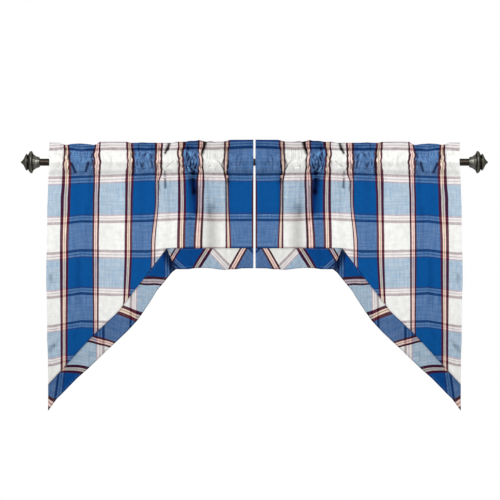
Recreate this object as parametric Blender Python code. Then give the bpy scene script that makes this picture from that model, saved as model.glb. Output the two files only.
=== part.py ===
"""Swag and tail drape on a rod.

Two gathered panels hang side by side on one round rod. Each panel is one cloth: it runs up the
front, over the top of a standing frill, down the back and ends below the rod pocket. A bias band
in two lengths, one level and one sloping, is mitred together along its lower edge.

Units are metres, +Z is up, -Y faces the room and the origin is the middle of the rod's axis.
"""
import math
from typing import NamedTuple

import bmesh
import bpy
from mathutils import Vector

# Rod and finials
ROD_RADIUS = 0.012
ROD_WALL = 0.0012
ROD_LENGTH = 1.446
ROD_SIDES = 32
FINIAL_SIDES = 8
SPIGOT_RADIUS = 0.0104
SPIGOT_LENGTH = 0.024
FINIAL_GAP = 0.0003

# Hung panel
PANEL_WIDTH = 0.6912
PANEL_SPACING = 0.0068
CLOTH = 0.0014
LAYER_GAP = 0.0008
ROD_SEAT_GAP = 0.00035
ROD_TOUCH = 0.004
HEADING_STITCH = 0.038
POCKET_STITCH = -0.045
BACK_HEM = -0.053
HEADING_TOP_OUTER = 0.066
HEADING_TOP_INNER = 0.075
HEADING_RISE_FROM = 0.42
HEADING_RISE_TO = 0.64
SIDE_INSET = 0.004
SIDE_INSET_END = -0.11
PUFF_PER_SPACING = 0.2
PUFF_LIMIT = 0.009
ROD_CLEAR_BAND = 0.016

# Bias band
BAND = 0.0016
BAND_GAP = 0.0004
SEAM_ALLOWANCE = 0.006
MITRE_GAP = 0.0004
LEVEL_SEAM = -0.2904
LEVEL_HEM = -0.3575

# Mesh steps
COLUMN_STEP = 0.025
COLUMN_MERGE = 0.0072
FOLD_COLUMNS = (-1.0, -0.5, 0.0, 0.5, 1.0)
HANGING_ROWS = 7
ROW_CROWDING = 1.25
BAND_ROWS = 3
TURN_STEPS = 3


class Fold(NamedTuple):
    """One crease that runs down the cloth, at its distance from the outer edge."""

    name: str
    centre: float
    half_width: float
    depth: float
    heading: float
    low: float
    reach: float
    dip: float


#    name                    centre  half    depth   heading  low   reach   dip
FOLDS = (
    Fold("outer stripe",      0.060, 0.022, 0.0065, 1.20, 0.20, 0.200, 0.008),
    Fold("first blue",        0.108, 0.026, 0.0035, 1.00, 0.70, 0.400, 0.000),
    Fold("second stripe",     0.150, 0.022, 0.0070, 1.20, 0.30, 0.250, 0.008),
    Fold("first white",       0.216, 0.042, 0.0050, 0.80, 0.80, 0.400, 0.000),
    Fold("third stripe",      0.281, 0.018, 0.0075, 1.20, 0.30, 0.200, 0.004),
    Fold("second blue",       0.325, 0.024, 0.0060, 1.20, 0.50, 0.300, 0.002),
    Fold("fourth stripe",     0.373, 0.017, 0.0090, 1.20, 0.30, 0.200, 0.003),
    Fold("second white",      0.411, 0.030, 0.0080, 0.90, 0.80, 0.300, 0.000),
    Fold("fifth stripe",      0.446, 0.014, 0.0060, 1.20, 0.30, 0.150, 0.000),
    Fold("deep tuck",         0.488, 0.021, 0.0165, 0.60, 0.45, 0.180, 0.000),
    Fold("third white",       0.552, 0.034, 0.0100, 0.80, 0.80, 0.300, 0.005),
    Fold("seventh stripe",    0.606, 0.015, 0.0090, 1.10, 0.60, 0.250, 0.000),
    Fold("inner blue",        0.655, 0.030, 0.0045, 0.80, 0.80, 0.300, 0.000),
)


class Station(NamedTuple):
    """One crossing of the sloping band, its seam and hem ends as distance across and height."""

    name: str
    seam: tuple
    hem: tuple


#            name          seam: across, height    hem: across, height
SLOPE = (
    Station("tail end",    (0.0000, -0.7515),      (0.0000, -0.8392)),
    Station("tail turn",   (0.0450, -0.7000),      (0.0750, -0.7440)),
    Station("lower slope", (0.1400, -0.5950),      (0.1880, -0.6370)),
    Station("knee",        (0.2330, -0.5060),      (0.2930, -0.5400)),
    Station("upper slope", (0.3210, -0.3930),      (0.3680, -0.4290)),
    Station("mitre",       (0.3980, LEVEL_SEAM),   (0.4290, LEVEL_HEM)),
)


class Turning(NamedTuple):
    """One ring of the finial: its distance from the collar's end face and its flat's radius."""

    name: str
    out: float
    radius: float


#            name           out     radius
FINIAL = (
    Turning("collar",       0.0000, 0.0165),
    Turning("collar lip",   0.0040, 0.0172),
    Turning("cove foot",    0.0065, 0.0178),
    Turning("cove",         0.0130, 0.0215),
    Turning("cove head",    0.0195, 0.0275),
    Turning("plate back",   0.0250, 0.0355),
    Turning("plate edge",   0.0280, 0.0378),
    Turning("plate face",   0.0305, 0.0350),
    Turning("neck",         0.0365, 0.0222),
    Turning("cap back",     0.0400, 0.0262),
    Turning("cap edge",     0.0440, 0.0283),
    Turning("cap face",     0.0475, 0.0240),
    Turning("point foot",   0.0570, 0.0120),
    Turning("point",        0.0645, 0.0022),
)

# Colours as (red, green, blue)
CLOTH_BLUE = (0.05, 0.18, 0.40)
BAND_BLUE = (0.04, 0.12, 0.34)
BRONZE = (0.035, 0.028, 0.022)


def clear_scene():
    """Removes every object of the scene."""
    for old in list(bpy.data.objects):
        bpy.data.objects.remove(old, do_unlink=True)


def finish(name, colour, roughness, metallic):
    """Makes a Principled material."""
    material = bpy.data.materials.new(name)
    material.use_nodes = True
    shader = material.node_tree.nodes["Principled BSDF"]
    shader.inputs["Base Color"].default_value = (*colour, 1.0)
    shader.inputs["Roughness"].default_value = roughness
    shader.inputs["Metallic"].default_value = metallic
    return material


def add_object(name, bm, material, sharp_angle):
    """Turns a bmesh into a named, smooth-shaded object."""
    bmesh.ops.recalc_face_normals(bm, faces=bm.faces[:])
    mesh = bpy.data.meshes.new(name)
    bm.to_mesh(mesh)
    bm.free()
    mesh.shade_smooth()
    mesh.set_sharp_from_angle(angle=math.radians(sharp_angle))
    mesh.materials.append(material)
    piece = bpy.data.objects.new(name, mesh)
    bpy.context.collection.objects.link(piece)
    return piece


def smooth(value, start, end):
    """Eases from 0 at start to 1 at end."""
    share = min(1.0, max(0.0, (value - start) / (end - start)))
    return share * share * (3.0 - 2.0 * share)


def bell(distance, half_width):
    """Is 1 on a fold's line and 0 from half_width away."""
    if abs(distance) >= half_width:
        return 0.0
    return 0.5 * (1.0 + math.cos(math.pi * distance / half_width))


def along(points, across):
    """Reads the height of an edge of straight runs at a distance across."""
    for (start, start_z), (end, end_z) in zip(points, points[1:]):
        if across <= end:
            return start_z + (end_z - start_z) * (across - start) / (end - start)
    return points[-1][1]


def seam_height(across):
    """Height of the seam between panel and band."""
    return along([station.seam for station in SLOPE] + [(PANEL_WIDTH, LEVEL_SEAM)], across)


def top_height(across):
    """Height of the frill's top edge, lower where the cloth is pinched."""
    rise = smooth(across, HEADING_RISE_FROM, HEADING_RISE_TO)
    height = HEADING_TOP_OUTER + (HEADING_TOP_INNER - HEADING_TOP_OUTER) * rise
    return height - sum(fold.dip * bell(across - fold.centre, fold.half_width) for fold in FOLDS)


def fold_share(fold, height):
    """How much of a fold's depth both layers share at a height; none beside the rod."""
    if height >= 0.0:
        return fold.heading * smooth(height, ROD_CLEAR_BAND, HEADING_STITCH)
    if height > POCKET_STITCH:
        return smooth(-height, ROD_CLEAR_BAND, -POCKET_STITCH)
    return 1.0 + (fold.low - 1.0) * smooth(POCKET_STITCH - height, 0.0, fold.reach)


def fold_depth(across, height):
    """Distance that the cloth lies back, towards the wall, at a point."""
    return sum(
        fold.depth * bell(across - fold.centre, fold.half_width) * fold_share(fold, height)
        for fold in FOLDS
    )


def puff(across, height):
    """Distance that a layer stands off the rod between two pinched lines of the pocket."""
    lines = [0.0] + [fold.centre for fold in FOLDS] + [PANEL_WIDTH]
    swell = 0.0
    for start, end in zip(lines, lines[1:]):
        if start <= across <= end:
            crest = min(PUFF_LIMIT, PUFF_PER_SPACING * (end - start))
            swell = crest * math.sin(math.pi * (across - start) / (end - start))
    fade_up = smooth(HEADING_STITCH - height, 0.0, HEADING_STITCH)
    fade_down = smooth(height - POCKET_STITCH, 0.0, -POCKET_STITCH)
    return swell * min(fade_up, fade_down)


def pocket_half_width(height):
    """Half the distance between the pocket's two layers, which draw in from the rod."""
    closed = 0.5 * (CLOTH + LAYER_GAP)
    radius = ROD_RADIUS + ROD_SEAT_GAP + 0.5 * CLOTH
    stitch = HEADING_STITCH if height >= 0.0 else -POCKET_STITCH
    reach = abs(height)
    if reach >= stitch:
        return closed
    apex = stitch + closed * stitch / radius
    if reach <= radius * radius / apex:
        return math.sqrt(radius * radius - reach * reach)
    return (apex - reach) * radius / math.sqrt(apex * apex - radius * radius)


def place_x(side, across, height):
    """World X of a point at a distance from the panel's outer edge."""
    inset = SIDE_INSET * smooth(height, SIDE_INSET_END, 0.0)
    return side * (0.5 * PANEL_SPACING + (PANEL_WIDTH - across) * (1.0 - inset / PANEL_WIDTH))


def column_lines(start, end):
    """Distances across of the mesh's columns: on each fold, and evenly between them."""
    wanted = {start, end}
    for fold in FOLDS:
        for share in FOLD_COLUMNS:
            wanted.add(fold.centre + share * fold.half_width)
    wanted.update(station.seam[0] for station in SLOPE)
    fixed = {start, end, SLOPE[-1].seam[0]}
    lines = []
    for line in sorted(line for line in wanted if start <= line <= end):
        if lines and line - lines[-1] < COLUMN_MERGE:
            if line in fixed:
                lines[-1] = line
            continue
        lines.append(line)
    filled = [lines[0]]
    for line in lines[1:]:
        parts = math.ceil((line - filled[-1]) / COLUMN_STEP)
        last = filled[-1]
        filled.extend(last + (line - last) * part / parts for part in range(1, parts + 1))
    return filled


def panel_section(across):
    """Rows of the panel's mesh at a column, each as (y, z, normal y, normal z).

    The rows run from the hem behind the pocket, up the back, over the frill and down the front.
    """
    top = top_height(across)
    closed = pocket_half_width(top)
    turn = top - closed
    levels = [BACK_HEM, POCKET_STITCH, 0.5 * POCKET_STITCH, -ROD_TOUCH, 0.0, ROD_TOUCH,
              0.45 * HEADING_STITCH, HEADING_STITCH, 0.5 * (HEADING_STITCH + turn)]
    rows = []
    for height in levels:
        spread = pocket_half_width(height) + puff(across, height)
        rows.append((spread, height, 1.0, 0.0))
    for step in range(TURN_STEPS + 1):
        angle = math.pi * step / TURN_STEPS
        rows.append((closed * math.cos(angle), turn + closed * math.sin(angle),
                     math.cos(angle), math.sin(angle)))
    for height in reversed(levels[1:]):
        spread = pocket_half_width(height) + puff(across, height)
        rows.append((-spread, height, -1.0, 0.0))
    bottom = seam_height(across)
    for row in range(1, HANGING_ROWS + 1):
        share = (row / HANGING_ROWS) ** ROW_CROWDING
        rows.append((-closed, POCKET_STITCH + (bottom - POCKET_STITCH) * share, -1.0, 0.0))
    rows.append((-closed, bottom - SEAM_ALLOWANCE, -1.0, 0.0))
    return rows


def sheet(name, places, thickness, material):
    """Makes a closed sheet from a grid of (x, y, z, normal y, normal z) places.

    The grid's faces are extruded once, and each side then moves half the thickness out.
    """
    columns = len(places)
    rows = len(places[0])
    bm = bmesh.new()
    bmesh.ops.create_grid(bm, x_segments=columns - 1, y_segments=rows - 1, size=0.5)
    first_side = bm.verts[:]
    grown = bmesh.ops.extrude_face_region(bm, geom=bm.faces[:], use_keep_orig=True)
    second_side = [item for item in grown["geom"] if isinstance(item, bmesh.types.BMVert)]
    for side, verts in ((1.0, first_side), (-1.0, second_side)):
        for vert in verts:
            column = round((vert.co.x + 0.5) * (columns - 1))
            row = round((vert.co.y + 0.5) * (rows - 1))
            x, y, z, normal_y, normal_z = places[column][row]
            half = 0.5 * thickness * side
            vert.co = Vector((x, y + half * normal_y, z + half * normal_z))
    return add_object(name, bm, material, 50.0)


def build_panel(side, name, material):
    """Builds one gathered panel with its frill and rod pocket."""
    places = []
    for across in column_lines(0.0, PANEL_WIDTH):
        places.append([
            (place_x(side, across, z), y + fold_depth(across, z), z, normal_y, normal_z)
            for y, z, normal_y, normal_z in panel_section(across)
        ])
    return sheet(name, places, CLOTH, material)


def band_place(side, across, height):
    """A point of a band's middle, just in front of the panel's cloth."""
    closed = pocket_half_width(LEVEL_SEAM)
    lift = closed + 0.5 * (CLOTH + BAND) + BAND_GAP
    y = fold_depth(across, height) - lift
    return (place_x(side, across, height), y, height, -1.0, 0.0)


def band_rows(side, seam, hem):
    """One crossing of a band: level with the panel's columns down to the allowance's end, and
    from there straight to the hem.
    """
    rows = [band_place(side, *seam)]
    top = seam[1] - SEAM_ALLOWANCE
    for row in range(BAND_ROWS + 1):
        share = row / BAND_ROWS
        across = seam[0] + (hem[0] - seam[0]) * share
        rows.append(band_place(side, across, top + (hem[1] - top) * share))
    return rows


def build_slope_band(side, name, material):
    """Builds the sloping length of the band, from the tail's side to the mitre."""
    mitre = SLOPE[-1]
    hem_line = [station.hem for station in SLOPE]
    most = mitre.hem[0] - mitre.seam[0]
    places = []
    for across in column_lines(0.0, mitre.seam[0]):
        hem_across = across + most * smooth(across, 0.0, mitre.seam[0])
        trim = MITRE_GAP * smooth(across, mitre.seam[0] - most, mitre.seam[0])
        seam = (across - trim, seam_height(across))
        hem = (hem_across - trim, along(hem_line, hem_across))
        places.append(band_rows(side, seam, hem))
    return sheet(name, places, BAND, material)


def build_level_band(side, name, material):
    """Builds the level length of the band, from the mitre to the panel's inner edge."""
    mitre = SLOPE[-1]
    most = mitre.hem[0] - mitre.seam[0]
    places = []
    for across in column_lines(mitre.seam[0], PANEL_WIDTH):
        hem_across = across + most * (1.0 - smooth(across, mitre.seam[0], PANEL_WIDTH))
        trim = MITRE_GAP * (1.0 - smooth(across, mitre.seam[0], mitre.seam[0] + most))
        seam = (across + trim, LEVEL_SEAM)
        hem = (hem_across + trim, LEVEL_HEM)
        places.append(band_rows(side, seam, hem))
    return sheet(name, places, BAND, material)


def ring(bm, sides, radius, x):
    """Adds a ring of points round the X axis, with flats up, down, front and back."""
    turn = math.pi / sides
    points = []
    for side in range(sides):
        angle = turn + 2.0 * math.pi * side / sides
        points.append(bm.verts.new((x, radius * math.cos(angle), radius * math.sin(angle))))
    following = points[1:] + points[:1]
    return [bm.edges.new((first, second)) for first, second in zip(points, following)]


def build_rod(name, material):
    """Builds the round tube that carries both panels."""
    bm = bmesh.new()
    outer = ring(bm, ROD_SIDES, ROD_RADIUS, -0.5 * ROD_LENGTH)
    inner = ring(bm, ROD_SIDES, ROD_RADIUS - ROD_WALL, -0.5 * ROD_LENGTH)
    faces = bmesh.ops.bridge_loops(bm, edges=outer + inner)["faces"]
    grown = bmesh.ops.extrude_face_region(bm, geom=faces, use_keep_orig=True)
    moved = [item for item in grown["geom"] if isinstance(item, bmesh.types.BMVert)]
    bmesh.ops.translate(bm, verts=moved, vec=(ROD_LENGTH, 0.0, 0.0))
    return add_object(name, bm, material, 40.0)


def build_finial(side, name, material):
    """Builds one eight-sided finial with the spigot that plugs the rod's end."""
    bm = bmesh.new()
    flat_to_corner = 1.0 / math.cos(math.pi / FINIAL_SIDES)
    collar = side * (0.5 * ROD_LENGTH + FINIAL_GAP)
    spigot_end = collar - side * SPIGOT_LENGTH
    loops = [ring(bm, FINIAL_SIDES, SPIGOT_RADIUS, spigot_end)]
    loops.append(ring(bm, FINIAL_SIDES, SPIGOT_RADIUS, collar))
    for turning in FINIAL:
        loops.append(ring(bm, FINIAL_SIDES, turning.radius * flat_to_corner,
                          collar + side * turning.out))
    for first, second in zip(loops, loops[1:]):
        bmesh.ops.bridge_loops(bm, edges=first + second)
    for end in (loops[0], loops[-1]):
        bmesh.ops.contextual_create(bm, geom=end)
    return add_object(name, bm, material, 20.0)


def main():
    """Builds the drape's pieces."""
    clear_scene()
    cloth = finish("plaid cotton", CLOTH_BLUE, 0.9, 0.0)
    band = finish("bias cut plaid cotton", BAND_BLUE, 0.9, 0.0)
    bronze = finish("dark bronze", BRONZE, 0.35, 0.9)
    build_rod("rod", bronze)
    for side, word in ((-1.0, "left"), (1.0, "right")):
        build_finial(side, f"finial_{word}", bronze)
        build_panel(side, f"panel_{word}", cloth)
        build_slope_band(side, f"band_slope_{word}", band)
        build_level_band(side, f"band_level_{word}", band)


main()
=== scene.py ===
"""Looks of a swag and tail drape: two gathered plaid panels on a dark rod with stepped finials.

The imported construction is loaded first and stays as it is. Each cloth, bias band, row of
stitches and metal piece is then modelled over it in the same frame: metres, +Z up, -Y towards the
room, with the origin in the middle of the rod's axis. "Across" is the distance from a panel's
outer edge, and tables of distances on the cloth are in millimetres.
"""
import logging
import math
from collections.abc import Iterable
from dataclasses import dataclass, field
from enum import Enum
from typing import NamedTuple

import bmesh
import bpy
import numpy as np
from mathutils import Matrix, Vector


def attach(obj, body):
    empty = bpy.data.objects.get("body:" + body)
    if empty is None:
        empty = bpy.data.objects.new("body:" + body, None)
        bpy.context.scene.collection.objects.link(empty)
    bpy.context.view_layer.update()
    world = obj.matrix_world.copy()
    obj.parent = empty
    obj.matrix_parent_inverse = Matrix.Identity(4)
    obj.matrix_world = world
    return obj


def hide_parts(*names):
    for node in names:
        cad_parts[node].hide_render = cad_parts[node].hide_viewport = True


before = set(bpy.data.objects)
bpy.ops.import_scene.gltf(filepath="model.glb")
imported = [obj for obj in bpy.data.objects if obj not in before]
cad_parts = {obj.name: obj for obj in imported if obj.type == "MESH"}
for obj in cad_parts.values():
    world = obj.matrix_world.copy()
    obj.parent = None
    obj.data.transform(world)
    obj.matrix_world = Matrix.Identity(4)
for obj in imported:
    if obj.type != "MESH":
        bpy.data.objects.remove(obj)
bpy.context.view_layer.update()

LOG = logging.getLogger("swag_and_tail")
MM = 0.001
SIDES = ((-1.0, "left"), (1.0, "right"))
ROOT = "root"

Field = np.ndarray
Colour = tuple[float, float, float]
Place = tuple[float, float, float]
Spread = tuple[float, float]
Value = bpy.types.NodeSocket | float | tuple[float, ...] | None


def ease(value: Field, start: float, end: float) -> Field:
    """Eases from 0 to 1.

    Args:
        value: What is eased.
        start: The value at which the result leaves 0.
        end: The value at which it reaches 1.

    Returns:
        The eased share at each value.
    """
    share = np.clip((value - start) / (end - start), 0.0, 1.0)
    return share * share * (3.0 - 2.0 * share)


def bell(distance: Field, half_width: float) -> Field:
    """Is 1 on a line and falls to 0 at half_width from it.

    Args:
        distance: Signed distances from the line.
        half_width: Where the bell ends.

    Returns:
        The bell's height at each distance.
    """
    near = np.abs(distance) < half_width
    return np.where(near, 0.5 * (1.0 + np.cos(math.pi * distance / half_width)), 0.0)


# ---------------------------------------------------------------------------------------------
# The cloth as it hangs
# ---------------------------------------------------------------------------------------------


class Fold(NamedTuple):
    """One crease that runs down the whole cloth, with its sizes in metres and shares of depth."""

    centre: float
    half_width: float
    depth: float
    heading: float
    low: float
    reach: float


#         centre  half    depth   heading  low   reach
FOLDS = (
    Fold(0.060, 0.022, 0.0065, 1.20, 0.20, 0.200),
    Fold(0.108, 0.026, 0.0035, 1.00, 0.70, 0.400),
    Fold(0.150, 0.022, 0.0070, 1.20, 0.30, 0.250),
    Fold(0.216, 0.042, 0.0050, 0.80, 0.80, 0.400),
    Fold(0.281, 0.018, 0.0075, 1.20, 0.30, 0.200),
    Fold(0.325, 0.024, 0.0060, 1.20, 0.50, 0.300),
    Fold(0.373, 0.017, 0.0090, 1.20, 0.30, 0.200),
    Fold(0.411, 0.030, 0.0080, 0.90, 0.80, 0.300),
    Fold(0.446, 0.014, 0.0060, 1.20, 0.30, 0.150),
    Fold(0.488, 0.021, 0.0165, 0.60, 0.45, 0.180),
    Fold(0.552, 0.034, 0.0100, 0.80, 0.80, 0.300),
    Fold(0.606, 0.015, 0.0090, 1.10, 0.60, 0.250),
    Fold(0.655, 0.030, 0.0045, 0.80, 0.80, 0.300),
)


class Crease(NamedTuple):
    """A short trough, or a ridge where depth is negative, between two points of the cloth.

    Its shade is painted along it, a painted highlight where negative; a narrow one left at 0 finds
    it from its depth.
    """

    across: float
    height: float
    to_across: float
    to_height: float
    depth: float
    width: float
    shade: float = 0.0


#                across height to: across height  depth width, in millimetres, and painted shade
#                    (negative for a painted highlight)
CREASES = (
    # outer stripe and first blue
    Crease(58, 46, 56, 24, 4.2, 2.9),
    Crease(74, 30, 68, 12, 4.9, 2.9),
    Crease(79, -6, 90, -34, 5.4, 4.4, 1.1),
    Crease(86, 26, 84, 0, 2.0, 6.0),
    Crease(135, -2, 126, -31, 5.6, 4.4, 1.1),
    Crease(146, 26, 144, 14, 4.9, 2.5),
    Crease(154, 27, 152, 12, 4.6, 2.5),
    Crease(108, 20, 110, -10, -2.4, 9.0),
    Crease(98, 30, 98, -26, -0.8, 18.0, -0.22),
    Crease(132, 30, 132, -26, -0.8, 18.0, -0.22),
    Crease(20, 26, 14, 2, 1.1, 5.0),
    Crease(32, 4, 28, -30, 1.0, 5.0),
    # first white
    Crease(216, 16, 216, -14, 1.9, 6.0),
    Crease(246, -6, 246, -28, 1.6, 5.0),
    Crease(230, 10, 230, -2, -2.1, 7.2),
    Crease(188, 24, 196, -6, 1.1, 6.0),
    # third stripe and second blue
    Crease(282, 44, 286, 10, 5.3, 2.5),
    Crease(286, 10, 288, -18, 6.1, 2.7),
    Crease(288, -18, 284, -44, 4.9, 2.5),
    Crease(304, 64, 304, 36, 3.8, 2.5),
    Crease(300, 8, 300, -12, 4.6, 2.9),
    Crease(320, 22, 334, 33, 3.0, 2.1),
    Crease(334, 33, 346, 22, 3.0, 2.1),
    Crease(334, 20, 334, 2, -2.4, 7.2),
    Crease(304, 30, 304, -26, -0.8, 17.0, -0.28),
    Crease(337, 30, 337, -26, -0.8, 17.0, -0.28),
    Crease(294, -17, 310, -31, 2.7, 2.4),
    Crease(310, -31, 328, -19, 2.7, 2.4),
    Crease(350, 0, 350, -22, 4.2, 2.5),
    # fourth stripe and second white
    Crease(374, 50, 384, 21, 4.6, 1.9),
    Crease(384, 21, 376, -3, 4.2, 1.9),
    Crease(376, -3, 386, -26, 4.6, 2.1),
    Crease(392, -32, 394, -86, 6.5, 4.6, 0.95),
    Crease(408, 68, 401, 45, 7.0, 6.0, 1.5),
    Crease(401, 47, 393, 31, 7.0, 5.2, 1.5),
    Crease(422, 2, 400, -16, 3.4, 2.2),
    Crease(402, 24, 414, 8, -2.4, 4.5),
    Crease(368, -62, 376, -96, 3.4, 2.5, 0.50),
    # fifth stripe
    Crease(460, 66, 448, 38, 4.9, 1.8),
    Crease(434, 29, 436, 18, 4.2, 1.9),
    Crease(450, 25, 452, 15, 4.6, 1.8),
    Crease(444, 36, 446, 24, -3.3, 3.6),
    Crease(452, -2, 452, -18, 5.3, 1.8),
    # third blue, crumpled between two stripes
    Crease(469, 54, 471, 39, 3.5, 3.0, 0.75),
    Crease(474, 25, 475, 21, 2.5, 2.2, 0.60),
    Crease(494, 28, 494, 23, 3.5, 2.8, 0.80),
    Crease(462, -4, 462, -10, 3.0, 2.4, 0.60),
    Crease(467, 9, 468, -1, 2.0, 3.0, 0.35),
    Crease(479, 2, 479, -12, 4.0, 2.2, 0.70),
    Crease(474, -13, 482, -25, 4.5, 2.6, 0.95),
    Crease(463, -15, 466, -22, 3.0, 2.2, 0.60),
    Crease(500, -3, 495, -19, 4.5, 2.8, 0.85),
    Crease(489, 12, 489, -5, 2.0, 2.2, 0.35),
    Crease(499, 21, 500, 12, 2.0, 2.0, 0.40),
    Crease(503, 44, 499, 33, 2.0, 2.4, 0.35),
    Crease(474, 35, 479, 21, -2.4, 2.0, -0.55),
    Crease(484, 23, 497, 35, -2.6, 1.9, -0.72),
    Crease(489, 19, 491, 12, -2.2, 1.8, -0.55),
    Crease(472, 8, 473, -5, -2.0, 1.8, -0.55),
    Crease(468, -4, 470, -12, -2.4, 1.9, -0.72),
    Crease(458, 0, 459, -7, -2.2, 1.6, -0.72),
    Crease(470, -17, 477, -31, -2.6, 2.1, -0.72),
    Crease(459, -35, 470, -36, -2.2, 3.0, -0.55),
    Crease(493, -24, 503, -35, -2.6, 2.2, -0.72),
    Crease(478, -40, 479, -47, -2.0, 1.9, -0.72),
    Crease(496, 16, 498, -1, -2.2, 1.9, -0.60),
    Crease(484, 5, 486, -15, -2.2, 1.9, -0.60),
    Crease(459, 42, 462, 21, -2.0, 1.9, -0.55),
    Crease(513, 41, 509, 22, -2.6, 2.4, -0.72),
    Crease(512, 18, 515, 6, -2.6, 2.0, -0.72),
    Crease(487, -34, 491, -100, 8.0, 10.5, 0.90),
    Crease(491, -98, 496, -170, 4.6, 11.0, 0.50),
    Crease(478, -44, 478, -80, 2.0, 6.0, 0.20),
    Crease(482, 28, 482, -24, -0.6, 22.0, -0.16),
    # sixth stripe and third white
    Crease(532, 74, 518, 30, 10.0, 6.4, 1.5),
    Crease(516, 27, 522, 7, 5.7, 2.6, 0.75),
    Crease(522, 7, 520, -30, 4.9, 3.2, 0.75),
    Crease(522, 46, 510, 26, -3.6, 2.7),
    Crease(534, 42, 536, 10, 2.8, 1.5),
    Crease(546, 44, 544, 10, 3.0, 1.5),
    Crease(556, 44, 558, 8, 2.8, 1.5),
    Crease(564, 40, 564, 14, 2.5, 1.3),
    Crease(570, 42, 570, 10, 2.7, 1.5),
    Crease(578, 40, 578, 12, 2.5, 1.5),
    Crease(570, 5, 584, -12, 4.2, 2.1),
    Crease(540, -13, 552, -15, 2.8, 1.9),
    # seventh stripe and inner blue
    Crease(592, 44, 592, 8, 4.2, 1.9),
    Crease(590, 8, 585, -14, 6.5, 2.3),
    Crease(585, -14, 598, -43, 7.0, 2.4),
    Crease(606, 5, 606, -20, 4.9, 2.1),
    Crease(620, -22, 684, -21, -2.1, 5.4),
    Crease(618, -7, 686, -7, 1.2, 6.0),
    # soft drapes below the pocket
    Crease(370, -96, 354, -235, 4.0, 7.0),
    Crease(394, -86, 386, -214, 2.8, 6.0),
    Crease(410, -60, 404, -200, 2.0, 9.0, 0.13),
    Crease(424, -60, 424, -180, 1.0, 9.0, 0.10),
    Crease(536, -48, 544, -180, 2.8, 7.0, 0.26),
    Crease(554, -48, 558, -150, 2.0, 8.0, 0.18),
    Crease(578, -48, 580, -200, 1.0, 12.0, 0.10),
    Crease(602, -50, 602, -200, 3.0, 6.0, 0.22),
    Crease(604, -34, 604, -66, 1.6, 8.0, 0.56),
    Crease(600, 40, 599, 4, 1.0, 8.0, 0.34),
    Crease(549, -158, 552, -340, 1.2, 26.0, 0.54),
    Crease(514, -185, 516, -335, 0.6, 9.0, 0.20),
    Crease(508, -84, 508, -200, 1.0, 6.0, 0.32),
    Crease(4, -386, 26, -388, 1.5, 4.0, 0.52),
    Crease(10, -400, 30, -402, 1.1, 4.0, 0.34),
    Crease(4, -634, 20, -618, 1.5, 4.0, 0.52),
    Crease(20, -618, 34, -597, 1.5, 4.0, 0.52),
    Crease(6, -578, 30, -566, 1.2, 5.0, 0.18),
    Crease(8, -660, 24, -668, 1.2, 4.0, 0.20),
    Crease(62, -600, 88, -586, 0.8, 7.0, 0.10),
    Crease(100, -330, 104, -470, 0.8, 9.0, 0.10),
    Crease(128, -160, 126, -300, 0.8, 9.0, 0.10),
)


class EdgeCrease(NamedTuple):
    """A sharp crease that follows a warp stripe's edge through the heading, with shade painted along
    it; a negative depth makes a ridge with a painted highlight.
    """

    flat: float
    high: float
    low: float
    depth: float


#              flat   high  low   depth, all in millimetres
EDGE_CREASES = (
    EdgeCrease(42.3, 61, 42, -2.2),
    EdgeCrease(42.3, 38, 10, 1.0),
    EdgeCrease(72.3, 61, 38, 2.0),
    EdgeCrease(72.3, 38, 10, 2.4),
    EdgeCrease(152.4, 61, 38, 1.4),
    EdgeCrease(152.4, 38, -33, 2.4),
    EdgeCrease(178.0, 66, 38, 3.2),
    EdgeCrease(178.0, 38, -10, 1.4),
    EdgeCrease(258.1, 64, 40, 3.2),
    EdgeCrease(258.1, 38, 5, 1.6),
    EdgeCrease(288.1, 38, 5, 2.6),
    EdgeCrease(288.1, 5, -45, 3.6),
    EdgeCrease(368.2, 61, 38, 1.8),
    EdgeCrease(368.2, 38, -10, 2.6),
    EdgeCrease(393.8, 61, 38, 1.6),
    EdgeCrease(393.8, 38, -20, 2.4),
    EdgeCrease(473.9, 61, 42, -2.2),
    EdgeCrease(473.9, 38, -33, 1.8),
    EdgeCrease(503.9, 64, 38, 2.6),
    EdgeCrease(503.9, 38, -33, 3.2),
    EdgeCrease(584.0, 61, 42, 1.8),
    EdgeCrease(584.0, 38, -14, -1.0),
    EdgeCrease(609.6, 61, 42, 2.6),
    EdgeCrease(609.6, 38, -10, 1.4),
    EdgeCrease(689.7, 61, 38, 1.8),
    EdgeCrease(689.7, 38, -33, 1.8),
    EdgeCrease(719.7, 61, 38, 2.4),
    EdgeCrease(719.7, 5, -33, 2.8),
)


class GatherZone(NamedTuple):
    """Small gathers scattered along a row of stitches: places and sizes in millimetres."""

    low: float
    high: float
    length: float
    depth: float
    width: float
    count: int
    start: float = 2.0
    end: float = 689.0


#              low   high  length depth width count start end
GATHER_ZONES = (
    GatherZone(38.0, 48.0, 14.0, 1.6, 2.0, 90),
    GatherZone(22.0, 34.0, 15.0, 3.0, 2.2, 120),
    GatherZone(-22.0, 22.0, 15.0, 3.4, 2.5, 230),
    GatherZone(-40.0, -26.0, 13.0, 2.4, 2.1, 90),
    GatherZone(-66.0, -48.0, 16.0, 1.1, 2.4, 80),
    GatherZone(54.0, 66.0, 9.0, 0.6, 2.6, 40),
    GatherZone(-26.0, 34.0, 9.0, 1.6, 1.8, 40, 460.0, 506.0),
    GatherZone(-24.0, 32.0, 11.0, 3.2, 1.8, 40, 290.0, 358.0),
    GatherZone(-24.0, 32.0, 16.0, 2.6, 1.8, 34, 526.0, 588.0),
)

#             height  outward reach of the outer selvedge, both in millimetres
SELVEDGE = ((-840, 2.0), (-720, 2.0), (-650, 3.0), (-600, 5.5), (-540, 5.0), (-460, 6.5),
            (-400, 8.7), (-330, 8.0), (-240, 5.0), (-150, 5.0), (-100, 2.6), (-80, 2.2),
            (-60, 1.5), (-40, -0.2), (0, -3.4), (40, -1.6), (75, -1.4))

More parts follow.
